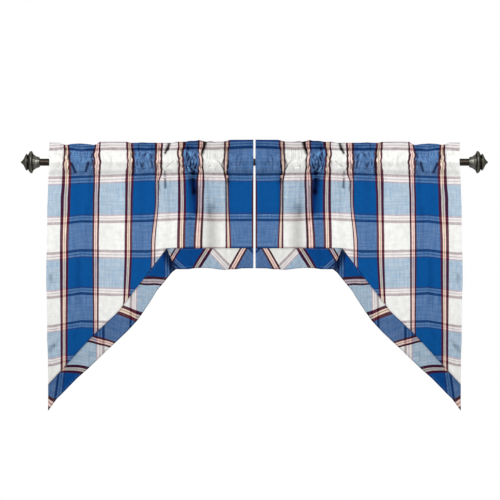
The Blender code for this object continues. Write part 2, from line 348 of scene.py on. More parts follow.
#             across   height of the frill's top edge, both in millimetres
TOP_EDGE = ((0, 65.8), (40, 65.8), (52, 59.0), (66, 59.0), (75, 61.5), (105, 63.2), (135, 60.8),
            (150, 58.5), (160, 60.0), (172, 69.0), (262, 69.0), (275, 65.5), (300, 65.5),
            (315, 67.0), (340, 65.5), (420, 65.5), (430, 69.0), (462, 69.0), (475, 72.0),
            (500, 72.5), (508, 75.5), (516, 72.5), (533, 69.0), (545, 72.0), (560, 69.0),
            (590, 69.0), (600, 72.0), (612, 75.5), (692, 75.9))

#             across, height of the level hem, in millimetres
LEVEL_HEM = ((430, -361.4), (470, -361.4), (490, -358.4), (511, -357.0), (531, -356.8),
             (551, -358.6), (571, -361.4), (592, -363.4), (612, -361.8), (632, -361.4),
             (652, -358.6), (692, -358.0))

#                across  liveliness of the small gathers
GATHER_LIFE = ((0, 0.35), (45, 0.5), (58, 0.9), (110, 0.8), (155, 0.9), (180, 0.35), (250, 0.35),
               (275, 0.9), (355, 1.0), (362, 0.6), (386, 0.5), (432, 0.5), (445, 1.0), (465, 1.6),
               (505, 1.6), (522, 0.7), (530, 0.45), (590, 0.5), (604, 1.0), (615, 0.7), (691, 0.6))

#                              across  shade painted over the frill, where the heading is drawn in
FRILL_SHADE = ((0, 0.10), (60, 0.10), (75, 0.14), (150, 0.18), (178, 0.12), (255, 0.10), (280, 0.18),
               (350, 0.22), (385, 0.10), (440, 0.12), (470, 0.34), (510, 0.30), (530, 0.26),
               (590, 0.24), (606, 0.16), (692, 0.24))


@dataclass(frozen=True)
class Drape:
    """The shape in which one panel hangs, shared by its cloth, its bands and its stitches.

    Lengths are in metres, apart from those that are used with the tables above: top_softness,
    hollow_depth, sharp_width, edge_step, edge_width and edge_wanders are in millimetres.
    """

    width: float = 0.6912
    spacing: float = 0.0068
    layer: float = 0.0011
    rod_fit: float = 0.01305
    rod_clear: float = 0.0130
    heading_stitch: float = 0.038
    pocket_stitch: float = -0.045
    back_hem: float = -0.053
    selvedge_width: float = 0.042
    top_softness: float = 3.0
    puff_per_spacing: float = 0.2
    puff_limit: float = 0.009
    loft: float = 0.0034
    loft_fade_up: float = 0.014
    loft_fade_down: float = 0.022
    belly: float = 0.0016
    belly_height: float = -0.029
    belly_reach: float = 0.016
    stitch_dent: float = 0.0007
    stitch_dent_width: float = 0.0034
    # How sharp creases are painted darker and sharp ridges lighter: painted shade and painted
    # highlight.
    hollow_depth: float = 6.2
    hollow_power: float = 1.4
    hollow_share: float = 0.8
    ridge_share: float = 0.55
    lightest: float = -0.80
    darkest: float = 1.4
    sharp_width: float = 4.0
    # Shade painted over the heading and the pocket, more where the gathers are lively.
    heading_shade: float = 0.02
    pocket_shade: float = 0.10
    shade_reach: float = 0.045
    shade_fade: float = 0.012
    frill_shade_start: float = 0.036
    calm_life: float = 0.5
    rod_clear_band: float = 0.016
    gather_lengths: Spread = (0.5, 1.2)
    gather_leans: Spread = (-0.35, 0.35)
    gather_depths: Spread = (0.4, 1.2)
    gather_widths: Spread = (0.7, 1.3)
    trough_share: float = 0.6
    edge_step: float = 11.0
    edge_width: float = 1.4
    edge_wanders: Spread = (-0.9, 0.9)
    edge_depths: Spread = (0.5, 1.15)
    edge_widths: Spread = (0.8, 1.25)
    seed: int = 7

    def top_height(self, across: Field) -> Field:
        """Height of the frill's top edge.

        Args:
            across: Distances from the outer edge.

        Returns:
            The height at each distance.
        """
        stops, heights = zip(*TOP_EDGE)
        shifts = (-self.top_softness, 0.0, self.top_softness)
        nearby = [np.interp(across / MM + shift, stops, heights) for shift in shifts]
        return sum(nearby) * MM / len(nearby)

    def fold_depth(self, across: Field, height: Field) -> Field:
        """Distance that the folds carry the cloth back, towards the wall.

        Args:
            across: Distances from the outer edge.
            height: Heights over the rod's axis.

        Returns:
            The depth at each point.
        """
        depth = np.zeros(np.broadcast(across, height).shape)
        band = self.rod_clear_band
        for fold in FOLDS:
            heading = fold.heading * ease(height, band, self.heading_stitch)
            pocket = ease(-height, band, -self.pocket_stitch)
            hanging = 1.0 + (fold.low - 1.0) * ease(self.pocket_stitch - height, 0.0, fold.reach)
            share = np.where(height >= 0.0, heading,
                             np.where(height > self.pocket_stitch, pocket, hanging))
            depth = depth + fold.depth * bell(across - fold.centre, fold.half_width) * share
        return depth

    def puff(self, across: Field, height: Field) -> Field:
        """Distance that a layer stands off the rod between two pinched lines of the pocket.

        Args:
            across: Distances from the outer edge.
            height: Heights over the rod's axis.

        Returns:
            The extra distance at each point.
        """
        lines = [0.0] + [fold.centre for fold in FOLDS] + [self.width]
        swell = np.zeros(np.broadcast(across, height).shape)
        for start, end in zip(lines, lines[1:]):
            crest = min(self.puff_limit, self.puff_per_spacing * (end - start))
            share = np.clip((across - start) / (end - start), 0.0, 1.0)
            swell = swell + crest * np.sin(math.pi * share)
        fade_up = ease(self.heading_stitch - height, 0.0, self.heading_stitch)
        fade_down = ease(height - self.pocket_stitch, 0.0, -self.pocket_stitch)
        return swell * np.minimum(fade_up, fade_down)

    def slack(self, height: Field) -> Field:
        """Distance that the crumpled front of the pocket stands off its tight line.

        Args:
            height: Heights over the rod's axis.

        Returns:
            The extra distance at each height.
        """
        inside = ease(self.heading_stitch - height, 0.0, self.loft_fade_up)
        inside = inside * ease(height - self.pocket_stitch, 0.0, self.loft_fade_down)
        belly = self.belly * bell(height - self.belly_height, self.belly_reach)
        return self.loft * inside + belly

    def stitch_dents(self, height: Field) -> Field:
        """Depth of the grooves in which the rows of stitches lie.

        Args:
            height: Heights over the rod's axis.

        Returns:
            The depth at each height.
        """
        rows = (self.heading_stitch, self.pocket_stitch)
        return self.stitch_dent * sum(bell(height - row, self.stitch_dent_width) for row in rows)

    def pocket_half_width(self, height: Field) -> Field:
        """Half the distance between the pocket's two layers.

        Args:
            height: Heights over the rod's axis.

        Returns:
            The half distance at each height.
        """
        radius = self.rod_fit
        stitch = np.where(height >= 0.0, self.heading_stitch, -self.pocket_stitch)
        reach = np.abs(height)
        apex = stitch + self.layer * stitch / radius
        on_rod = np.sqrt(np.maximum(radius * radius - reach * reach, 0.0))
        tangent = (apex - reach) * radius / np.sqrt(apex * apex - radius * radius)
        spread = np.where(reach <= radius * radius / apex, on_rod, tangent)
        return np.where(reach >= stitch, self.layer, spread)

    def small_gathers(self) -> list[Crease]:
        """Draws the small gathers along the rows of stitches.

        Returns:
            Creases in millimetres, troughs and ridges mixed.
        """
        draw = np.random.default_rng(self.seed)
        stops, lives = zip(*GATHER_LIFE)
        found = []
        for zone in GATHER_ZONES:
            for _ in range(zone.count):
                across = draw.uniform(zone.start, zone.end)
                height = draw.uniform(zone.low, zone.high)
                half = 0.5 * zone.length * draw.uniform(*self.gather_lengths)
                lean = half * draw.uniform(*self.gather_leans)
                life = float(np.interp(across, stops, lives))
                depth = zone.depth * draw.uniform(*self.gather_depths) * life
                width = zone.width * draw.uniform(*self.gather_widths)
                sign = 1.0 if draw.uniform() < self.trough_share else -1.0
                found.append(Crease(across - lean, height + half, across + lean, height - half,
                                    sign * depth, width))
        return found

    def edge_creases(self) -> list[Crease]:
        """Draws the sharp creases along the warp stripes.

        Returns:
            Short creases in millimetres, each of its own depth, that join end to end.
        """
        draw = np.random.default_rng(self.seed + 1)
        hung = {edge.flat: edge.hung for edge in STRIPE_EDGES}
        found = []
        for line in EDGE_CREASES:
            steps = max(2, round((line.high - line.low) / self.edge_step))
            levels = np.linspace(line.high, line.low, steps + 1)
            places = np.interp(-levels, [-level for level in STRIPE_LEVELS], hung[line.flat])
            places = places + draw.uniform(*self.edge_wanders, steps + 1)
            points = list(zip(places, levels))
            for start, end in zip(points, points[1:]):
                depth = line.depth * draw.uniform(*self.edge_depths)
                width = self.edge_width * draw.uniform(*self.edge_widths)
                found.append(Crease(*start, *end, depth, width))
        return found

    def all_creases(self) -> list[Crease]:
        """Lists the charted creases, those along the stripes and the small gathers.

        Returns:
            The creases, in millimetres.
        """
        return list(CREASES) + self.edge_creases() + self.small_gathers()

    def relief(self, across: Field, height: Field, creases: list[Crease]) -> Field:
        """Sums short creases.

        Args:
            across: Distances from the outer edge, in metres.
            height: Heights over the rod's axis, in metres.
            creases: The creases, in millimetres.

        Returns:
            How far back, towards the wall, the creases carry the cloth, in metres.
        """
        total = np.zeros(np.broadcast(across, height).shape)
        for crease in creases:
            start = (crease.across * MM, crease.height * MM)
            run = ((crease.to_across - crease.across) * MM, (crease.to_height - crease.height) * MM)
            length = run[0] * run[0] + run[1] * run[1]
            share = ((across - start[0]) * run[0] + (height - start[1]) * run[1]) / length
            share = np.clip(share, 0.0, 1.0)
            gap = np.hypot(across - start[0] - share * run[0], height - start[1] - share * run[1])
            total = total + crease.depth * MM * np.exp(-(gap / (crease.width * MM)) ** 2)
        return total

    def painted_shading(self, across: Field, height: Field, creases: list[Crease]) -> Field:
        """Works out the shade painted into the cloth's colour, and the highlight painted on sharp
        ridges.

        Args:
            across: Distances from the outer edge, in metres.
            height: Heights over the rod's axis, in metres.
            creases: The creases, in millimetres.

        Returns:
            0 on open cloth, 1 in the sharpest creases and below 0 on sharp ridges, where a highlight
            is painted.
        """
        # Each sharp crease paints shade along it, and each sharp ridge a highlight.
        marks = []
        for crease in creases:
            shade = crease.shade
            if not shade and crease.width < self.sharp_width:
                shade = (abs(crease.depth) / self.hollow_depth) ** self.hollow_power
                shade = shade if crease.depth > 0.0 else -self.ridge_share * shade
            if shade:
                marks.append(crease._replace(depth=shade / MM,
                                             width=self.hollow_share * crease.width))
        held = self.relief(across, height, marks)
        # Painted shade over the gathered heading and pocket, then over the frill.
        stops, lives = zip(*GATHER_LIFE)
        gathered = np.maximum(np.interp(across / MM, stops, lives) - self.calm_life, 0.0)
        gathered = self.heading_shade + self.pocket_shade * gathered
        gathered = gathered * ease(self.shade_reach - np.abs(height), 0.0, self.shade_fade)
        stops, shades = zip(*FRILL_SHADE)
        frill = np.interp(across / MM, stops, shades)
        frill = frill * ease(height, self.frill_shade_start, self.shade_reach)
        return np.clip(held + gathered + frill, self.lightest, self.darkest)

    def clearance(self, height: Field) -> Field:
        """Least distance of a layer of the pocket from the rod's axis.

        Args:
            height: Heights over the rod's axis.

        Returns:
            The distance at each height.
        """
        rod = np.sqrt(np.maximum(self.rod_clear ** 2 - height * height, 0.0))
        return np.maximum(rod, self.layer)

    def place_x(self, side: float, across: Field, height: Field) -> Field:
        """World X of points of the cloth.

        Args:
            side: -1 for the left panel and 1 for the right one.
            across: Distances from the outer edge.
            height: Heights over the rod's axis.

        Returns:
            X at each point.
        """
        levels, bulges = zip(*SELVEDGE)
        bulge = np.interp(height / MM, levels, bulges) * MM
        reach = self.width - across
        reach = reach + bulge * np.clip(1.0 - across / self.selvedge_width, 0.0, 1.0)
        return side * (0.5 * self.spacing + reach)


#       across, height of the seam between panel and sloping band, in metres
SEAM = ((0.0000, -0.7515), (0.0450, -0.7000), (0.1400, -0.5950), (0.2330, -0.5060),
        (0.3210, -0.3930), (0.3980, -0.2904))
# Where the mitre starts on the seam, and how much further across it ends on the hem.
MITRE = SEAM[-1][0]
MITRE_LEAN = 0.4290 - MITRE

#             across, height of the sloping hem, in millimetres
SLOPE_HEM = ((0, -839.2), (28, -799.0), (45, -782.0), (62, -764.3), (96, -729.6), (130, -699.6),
             (163, -668.2), (197, -634.5), (231, -603.8), (265, -571.1), (298, -536.0),
             (315, -512.0), (332, -486.7), (349, -460.4), (366, -432.5), (383, -412.8),
             (400, -391.6), (416, -372.0), (430, -361.4))


def seam_height(across: Field) -> Field:
    """Height of the seam between panel and band.

    Args:
        across: Distances from the outer edge.

    Returns:
        The height at each distance.
    """
    stops, heights = zip(*SEAM)
    return np.interp(across, stops, heights)


# ---------------------------------------------------------------------------------------------
# The weave
# ---------------------------------------------------------------------------------------------


class Yarn(Enum):
    """The dyed yarns, each as a display colour from 0 to 255."""

    WHITE = (244, 244, 241)
    BLUE = (14, 82, 148)
    BURGUNDY = (80, 24, 44)
    WINE = (72, 34, 46)
    PEACH = (252, 212, 200)
    CREAM = (254, 225, 203)
    OLIVE = (164, 148, 124)
    BARK = (120, 88, 80)
    DARK = (72, 32, 46)
    MAUVE = (78, 44, 86)
    LILAC = (128, 100, 122)
    PALE = (230, 214, 214)

    @property
    def shade(self) -> Colour:
        """The colour with each part from 0 to 1, still as displayed."""
        return tuple(part / 255.0 for part in self.value)


class Run(NamedTuple):
    """Neighbouring threads of one yarn: their width in millimetres and the yarn.

    Its cover is the share of the other direction's threads that shows between them.
    """

    width: float
    yarn: Yarn
    cover: float = 1.0


# The warp runs down the cloth. Its repeat starts at the outer stripe's outer edge.
WARP = (
    Run(9.4, Yarn.BURGUNDY, 0.5), Run(4.4, Yarn.CREAM, 0.7), Run(2.4, Yarn.OLIVE, 0.6),
    Run(4.4, Yarn.CREAM, 0.7), Run(9.4, Yarn.BURGUNDY, 0.5), Run(80.1, Yarn.BLUE),
    Run(6.8, Yarn.WINE, 0.3), Run(5.0, Yarn.PEACH, 0.85), Run(2.0, Yarn.BARK, 0.6),
    Run(5.0, Yarn.PEACH, 0.85), Run(6.8, Yarn.WINE, 0.3), Run(80.1, Yarn.WHITE),
)
WARP_START = 42.3 * MM

# The weft runs along the rod. Its repeat starts at the first dark line under the pocket.
WEFT = (
    Run(8.6, Yarn.DARK), Run(6.0, Yarn.PALE), Run(3.6, Yarn.LILAC), Run(6.0, Yarn.PALE),
    Run(5.4, Yarn.MAUVE), Run(104.4, Yarn.BLUE),
    Run(5.4, Yarn.MAUVE), Run(6.0, Yarn.PALE), Run(3.6, Yarn.LILAC), Run(6.0, Yarn.PALE),
    Run(8.6, Yarn.DARK), Run(91.1, Yarn.WHITE),
)
WEFT_START = 48.0 * MM


class StripeEdge(NamedTuple):
    """An edge of a warp stripe: in the flat cloth, and hung at each height of STRIPE_LEVELS."""

    flat: float
    hung: tuple[float, ...]


#                 frill stitch rod under fall  mid   low   tail
STRIPE_LEVELS = (61.0, 29.0, 0.0, -33.0, -67.0, -127.0, -283.0, -600.0)
STRIPE_EDGES = (
    StripeEdge(-6.0, (0, 0, 0, 0, 0, 0, 0, 0)),
    StripeEdge(42.3, (50, 51, 49, 46, 44, 40, 38, 40)),
    StripeEdge(51.7, (56, 56, 54, 54, 54, 50, 47, 47)),
    StripeEdge(72.3, (68, 71, 76, 77, 75, 73, 66, 63)),
    StripeEdge(152.4, (156, 149, 150, 150, 150, 148, 147, 149)),
    StripeEdge(178.0, (175, 174, 179, 175, 173, 171, 169, 168)),
    StripeEdge(258.1, (261, 263, 266, 260, 258, 258, 256, 249)),
    StripeEdge(267.5, (268, 268, 270, 268, 267, 266, 264, 254)),
    StripeEdge(288.1, (284, 289, 291, 287, 286, 283, 281, 266)),
    StripeEdge(368.2, (358, 358, 357, 358, 358, 359, 345, 334)),
    StripeEdge(393.8, (386, 384, 384, 384, 373, 371, 360, 349)),
    StripeEdge(473.9, (436, 433, 438, 436, 436, 436, 433, 433)),
    StripeEdge(483.3, (440, 439, 444, 443, 444, 445, 442, 441)),
    StripeEdge(503.9, (463, 453, 458, 460, 463, 464, 461, 460)),
    StripeEdge(584.0, (503, 505, 507, 501, 497, 497, 488, 488)),
    StripeEdge(609.6, (527, 518, 521, 525, 526, 524, 519, 518)),
    StripeEdge(689.7, (592, 592, 590, 590, 596, 597, 597, 597)),
    StripeEdge(719.7, (611, 607, 607, 603, 608, 609, 616, 616)),
    StripeEdge(799.8, (694, 694, 693, 690, 686, 685, 685, 685)),
    StripeEdge(809.0, (702, 702, 701, 698, 694, 693, 693, 693)),
)


class WeftRise(NamedTuple):
    """How far the weft lines lie above their flat place, at each height of RISE_LEVELS."""

    across: float
    rise: tuple[float, ...]


#               heading pocket waist middle low   foot   tip
RISE_LEVELS = (45.0, -47.0, -198.0, -300.0, -445.0, -539.0, -677.0)
WEFT_RISES = (
    WeftRise(13.0, (-3.4, 0.0, 0.0, -1.7, 5.1, 6.4, 32.0)),
    WeftRise(54.0, (0.0, 0.3, 1.7, 2.4, 11.5, 15.2, 44.9)),
    WeftRise(108.0, (-7.1, 3.4, 7.8, 9.8, 19.6, 24.6, 47.2)),
    WeftRise(209.0, (-1.0, 6.4, 6.4, 6.7, 14.8, 21.9, 40.5)),
    WeftRise(331.0, (-3.4, 11.5, 9.8, 5.7, 13.5, 20.2, 40.5)),
    WeftRise(405.0, (-3.4, 11.8, 14.5, 13.5, 13.5, 13.5, 13.5)),
    WeftRise(476.0, (1.3, 15.2, 17.2, 18.2, 16.9, 16.9, 16.9)),
    WeftRise(557.0, (-0.7, 13.2, 12.5, 16.9, 16.9, 16.9, 16.9)),
    WeftRise(658.0, (3.7, 10.5, 12.8, 18.6, 16.9, 16.9, 16.9)),
)


def read_between(rows: Field, levels: Field, value: Field) -> Field:
    """Reads rows of numbers that are given at falling levels.

    Args:
        rows: One row for each level, each of the same length.
        levels: The levels, from the highest down.
        value: The level wanted for each result.

    Returns:
        One interpolated row for each wanted level, in the last axis.
    """
    place = np.interp(-value, -levels, np.arange(len(levels), dtype=float))
    lower = np.clip(np.floor(place).astype(int), 0, len(levels) - 2)
    share = (place - lower)[..., None]
    share = share * share * (3.0 - 2.0 * share)
    return rows[lower] * (1.0 - share) + rows[lower + 1] * share


def read_along(place: Field, stops: Field, values: Field) -> Field:
    """Reads each point of a grid from its own row of stops and values.

    Args:
        place: The place of each point, a grid of columns and rows.
        stops: The stops in rising order, one row for all points or a row for each.
        values: The value at each stop, in the same way.

    Returns:
        The interpolated value at each point.
    """
    stops, values = (np.broadcast_to(row, (*place.shape, row.shape[-1])) for row in (stops, values))
    found = np.zeros(place.shape)
    for point in np.ndindex(place.shape):
        found[point] = np.interp(place[point], stops[point], values[point])
    return found


class Swerve(NamedTuple):
    """One wave of the threads' swerve: metres a radian down and across, and its own phase."""

    down: float
    across: float
    phase: float


SWERVES = (Swerve(0.0049, 0.0171, 1.0), Swerve(0.0031, -0.0117, 2.7), Swerve(0.0083, 0.0073, 5.1))


@dataclass(frozen=True)
class Weave:
    """Finds the place in the flat cloth of each point of the hung one."""

    levels: Field = field(default_factory=lambda: np.array(STRIPE_LEVELS) * MM)
    rise_levels: Field = field(default_factory=lambda: np.array(RISE_LEVELS) * MM)
    crumple_shift: float = 0.0021
    crumple_rise: float = 0.0012
    crumple_height: float = 0.006
    crumple_reach: float = 0.062
    warp_phase: float = 0.4
    weft_phase: float = 1.9

    def crumple(self, across: Field, height: Field, phase: float) -> Field:
        """Small swerve of the threads where the heading is gathered.

        Args:
            across: Hung distances from the outer edge.
            height: The height of each point.
            phase: Sets one swerve apart from another.

        Returns:
            The swerve, mostly between -1 and 1.
        """
        stops, lives = zip(*GATHER_LIFE)
        life = np.interp(across / MM, stops, lives)
        fade = bell(height - self.crumple_height, self.crumple_reach) ** 0.5 * life
        swerve = sum(np.sin(height / wave.down + across / wave.across + wave.phase * phase)
                     for wave in SWERVES)
        return 0.5 * swerve * fade

    def warp_place(self, across: Field, height: Field) -> Field:
        """Distance from the cloth's outer selvedge.

        Args:
            across: Hung distances from the outer edge, a grid of columns and rows.
            height: The height of each point of that grid.

        Returns:
            The flat distance of each point, in metres.
        """
        flat = np.array([edge.flat for edge in STRIPE_EDGES]) * MM
        hung = np.array([edge.hung for edge in STRIPE_EDGES]).T * MM
        place = read_along(across, read_between(hung, self.levels, height), flat)
        return place + self.crumple_shift * self.crumple(across, height, self.warp_phase)

    def weft_place(self, across: Field, height: Field) -> Field:
        """Distance down the cloth from the level of the rod's axis.

        Args:
            across: Hung distances from the outer edge.
            height: The height of each point.

        Returns:
            The flat distance of each point, in metres; negative above the rod's axis.
        """
        rises = np.array([rise.rise for rise in WEFT_RISES]).T * MM
        stops = np.array([rise.across for rise in WEFT_RISES]) * MM
        lift = read_along(across, stops, read_between(rises, self.rise_levels, height))
        return lift - height + self.crumple_rise * self.crumple(across, height, self.weft_phase)


# ---------------------------------------------------------------------------------------------
# Finishes
# ---------------------------------------------------------------------------------------------


class Grain(NamedTuple):
    """The size of an unevenness: how many grains lie on a metre, and how many finer ones it has."""

    count: float
    detail: float


@dataclass(frozen=True)
class NodeSketch:
    """A short way to add and join the nodes of one material or of the sky."""

    owner: bpy.types.Material | bpy.types.World

    def add(self, kind: str, **settings: object) -> bpy.types.Node:
        """Adds a node.

        Args:
            kind: The node's type name.
            settings: Properties to set, or socket values under names that start with "in_".

        Returns:
            The new node.
        """
        node = self.owner.node_tree.nodes.new(kind)
        for name, value in settings.items():
            if name.startswith("in_"):
                socket = int(name[3:]) if name[3:].isdigit() else name[3:].replace("_", " ")
                node.inputs[socket].default_value = value
            else:
                setattr(node, name, value)
        return node

    def join(self, start: bpy.types.NodeSocket, end: bpy.types.NodeSocket) -> None:
        """Links an output to an input."""
        self.owner.node_tree.links.new(start, end)

    def feed(self, inputs: Iterable[bpy.types.NodeSocket], values: Iterable[Value]) -> None:
        """Gives each input its value.

        Args:
            inputs: The inputs.
            values: For each, an output, a number, a colour, or None to leave it as it is.
        """
        for socket, value in zip(inputs, values):
            if isinstance(value, bpy.types.NodeSocket):
                self.join(value, socket)
            elif value is not None:
                socket.default_value = value

    def math(self, operation: str, first: Value, second: Value = None,
             third: Value = None) -> bpy.types.NodeSocket:
        """Adds a Math node.

        Args:
            operation: The Math node's operation.
            first: A socket or a number.
            second: A socket or a number, where the operation takes one.
            third: A socket or a number, where the operation takes one.

        Returns:
            The result's socket.
        """
        node = self.add("ShaderNodeMath", operation=operation)
        self.feed(node.inputs, (first, second, third))
        return node.outputs[0]

    def mix(self, share: Value, first: Value, second: Value,
            way: str = "MIX") -> bpy.types.NodeSocket:
        """Adds a Mix node for two colours.

        Args:
            share: How much of the second shows.
            first: The first colour.
            second: The second one.
            way: The node's blend type.

        Returns:
            The mixed colour's socket.
        """
        node = self.add("ShaderNodeMix", data_type="RGBA", blend_type=way)
        self.feed((node.inputs[name] for name in ("Factor", "A", "B")), (share, first, second))
        return node.outputs["Result"]

    def noise(self, place: bpy.types.NodeSocket, grain: Grain) -> bpy.types.NodeSocket:
        """Adds a Noise texture.

        Args:
            place: The coordinates.
            grain: Its size.

        Returns:
            The noise's socket, about 0 to 1.
        """
        node = self.add("ShaderNodeTexNoise", in_Scale=grain.count, in_Detail=grain.detail)
        self.join(place, node.inputs["Vector"])
        return node.outputs[0]

    def bump(self, height: bpy.types.NodeSocket, strength: float,
             depth: float) -> bpy.types.NodeSocket:
        """Adds a Bump node.

        Args:
            height: The relief, from 0 to 1 or more.
            strength: How strongly it shows.
            depth: The depth of a relief of 1, in metres.

        Returns:
            The bumped normal's socket.
        """
        node = self.add("ShaderNodeBump", in_Strength=strength, in_Distance=depth)
        self.join(height, node.inputs["Height"])
        return node.outputs["Normal"]


def new_material(name: str) -> tuple[NodeSketch, bpy.types.Node]:
    """Makes a material.

    Args:
        name: The material's name.

    Returns:
        A sketch of its nodes, and its Principled shader.
    """
    material = bpy.data.materials.new(name)
    material.use_nodes = True
    return NodeSketch(material), material.node_tree.nodes["Principled BSDF"]


@dataclass(frozen=True)
class PlaidFinish:
    """Yarn-dyed plaid cotton, drawn from the flat place that each piece keeps in its UV map."""

    name: str
    weft_share: float = 0.31
    speck_share: float = 0.32
    speck_fade: float = 0.8
    pale_rate: float = 4.0
    pale_start: float = 3.15
    thread: float = 0.62 * MM
    thread_contrast: float = 0.16
    slub_grain: Grain = Grain(620.0, 2.0)
    slub_stretch: float = 0.035
    slub_contrast: float = 0.26
    slub_shade: float = 0.35
    streak_grain: Grain = Grain(190.0, 2.0)
    warp_streak_stretch: float = 0.07
    weft_streak_stretch: float = 0.05
    streak_contrast: float = 0.30
    patch_grain: Grain = Grain(14.0, 3.0)
    patch_contrast: float = 0.05
    cloud_grain: Grain = Grain(55.0, 3.0)
    cloud_contrast: float = 0.30
    wander_grain: Grain = Grain(60.0, 2.0)
    wander: float = 0.9 * MM
    brightness: float = 0.93
    display_depth: float = 2.2
    # How strongly the painted shade darkens creases and the painted highlight lightens ridges:
    hollow_shade: float = 0.66
    hollow_richness: float = 1.2
    roughness: float = 0.92
    gloss: float = 0.05
    sheen: float = 0.03
    rumple_grain: Grain = Grain(190.0, 3.0)
    rumple_height: float = 2.2
    bump_strength: float = 0.8
    bump_depth: float = 0.16 * MM

    def make(self) -> bpy.types.Material:
        """Builds the material.

        Returns:
            The plaid cotton.
        """
        sketch, shader = new_material(self.name)
        flat = sketch.add("ShaderNodeUVMap", uv_map="flat").outputs["UV"]
        split = sketch.add("ShaderNodeSeparateXYZ")
        sketch.join(flat, split.inputs[0])
        wander = sketch.math("SUBTRACT", sketch.noise(flat, self.wander_grain), 0.5)
        wander = sketch.math("MULTIPLY", wander, self.wander)
        across = sketch.math("ADD", split.outputs["X"], wander)
        down = sketch.math("ADD", split.outputs["Y"], wander)
        warp = self.stripes(sketch, across, WARP_START, WARP)
        weft = self.stripes(sketch, down, WEFT_START, WEFT)
        waves = [sketch.math("SINE", sketch.math("MULTIPLY", place, math.pi / self.thread))
                 for place in (across, down)]
        slub = self.slubs(sketch, flat)
        # Shade painted in creases, and highlight painted on ridges, carried by the cloth's mesh.
        painted_shading = sketch.add("ShaderNodeAttribute", attribute_name="painted_shading").outputs["Fac"]

        share = sketch.math("MULTIPLY", waves[0], waves[1])
        share = sketch.math("MULTIPLY_ADD", share, self.thread_contrast, self.weft_share)
        share = sketch.math("MULTIPLY", sketch.math("ADD", share, slub), warp.outputs["Alpha"])
        dyed = self.dyed(sketch, (warp, weft), share, painted_shading)
        level = self.level(sketch, flat, slub, painted_shading)
        grey = sketch.add("ShaderNodeCombineColor")
        for channel in grey.inputs[:3]:
            sketch.join(level, channel)
        whole = sketch.mix(1.0, dyed, grey.outputs["Color"], "MULTIPLY")
        sketch.join(whole, shader.inputs["Base Color"])
        sketch.join(self.relief(sketch, flat, waves), shader.inputs["Normal"])
        shader.inputs["Roughness"].default_value = self.roughness
        shader.inputs["Specular IOR Level"].default_value = self.gloss
        shader.inputs["Sheen Weight"].default_value = self.sheen
        return sketch.owner

    def stripes(self, sketch: NodeSketch, place: bpy.types.NodeSocket, start: float,
                runs: tuple[Run, ...]) -> bpy.types.Node:
        """Colours one thread direction.

        Args:
            sketch: The material's nodes.
            place: Distance across the threads.
            start: Where the repeat starts.
            runs: The repeat.

        Returns:
            The ramp: the threads' display colour, and in its alpha their cover.
        """
        repeat = sum(run.width for run in runs) * MM
        turned = sketch.math("SUBTRACT", place, start)
        share = sketch.math("FRACT", sketch.math("DIVIDE", turned, repeat))
        ramp = sketch.add("ShaderNodeValToRGB")
        ramp.color_ramp.interpolation = "CONSTANT"
        stops = list(ramp.color_ramp.elements)
        edge = 0.0
        for run in runs:
            stop = stops.pop(0) if stops else ramp.color_ramp.elements.new(edge)
            stop.position = edge
            stop.color = (*run.yarn.shade, run.cover)
            edge += run.width * MM / repeat
        sketch.join(share, ramp.inputs["Fac"])
        return ramp

    def slubs(self, sketch: NodeSketch, flat: bpy.types.NodeSocket) -> bpy.types.NodeSocket:
        """Makes the uneven thickness of both directions' threads, with longer streaks in it.

        Args:
            sketch: The material's nodes.
            flat: The flat place.

        Returns:
            A socket that is 0 on an even thread.
        """
        slub = sketch.math(
            "ADD", self.slub(sketch, flat, self.slub_grain, (1.0, self.slub_stretch, 1.0)),
            self.slub(sketch, flat, self.slub_grain, (self.slub_stretch, 1.0, 1.0)))
        streak = sketch.math(
            "ADD", self.slub(sketch, flat, self.streak_grain, (1.0, self.warp_streak_stretch, 1.0)),
            self.slub(sketch, flat, self.streak_grain, (self.weft_streak_stretch, 1.0, 1.0)))
        slub = sketch.math("MULTIPLY", slub, self.slub_contrast)
        return sketch.math("MULTIPLY_ADD", streak, self.streak_contrast, slub)

    def slub(self, sketch: NodeSketch, flat: bpy.types.NodeSocket, grain: Grain,
             stretch: tuple[float, float, float]) -> bpy.types.NodeSocket:
        """Makes the uneven thickness of the threads of one direction.

        Args:
            sketch: The material's nodes.
            flat: The flat place.
            grain: The unevenness across the threads.
            stretch: How the grain is scaled along each axis.

        Returns:
            A socket from about -0.5 to 0.5.
        """
        mapping = sketch.add("ShaderNodeMapping", in_Scale=stretch)
        sketch.join(flat, mapping.inputs["Vector"])
        return sketch.math("SUBTRACT", sketch.noise(mapping.outputs["Vector"], grain), 0.5)

    def dyed(self, sketch: NodeSketch, ramps: tuple[bpy.types.Node, bpy.types.Node],
             share: bpy.types.NodeSocket, painted_shading: bpy.types.NodeSocket) -> bpy.types.NodeSocket:
        """Mixes the two directions' colours, with specks of pale weft where it crosses dark warp.

        Args:
            sketch: The material's nodes.
            ramps: The warp's and the weft's colours.
            share: How much of the weft shows.
            painted_shading: The shade painted at the point, below 0 where a highlight is painted.

        Returns:
            The cloth's colour as light.
        """
        warp, weft = (ramp.outputs["Color"] for ramp in ramps)
        woven = sketch.mix(share, warp, weft)
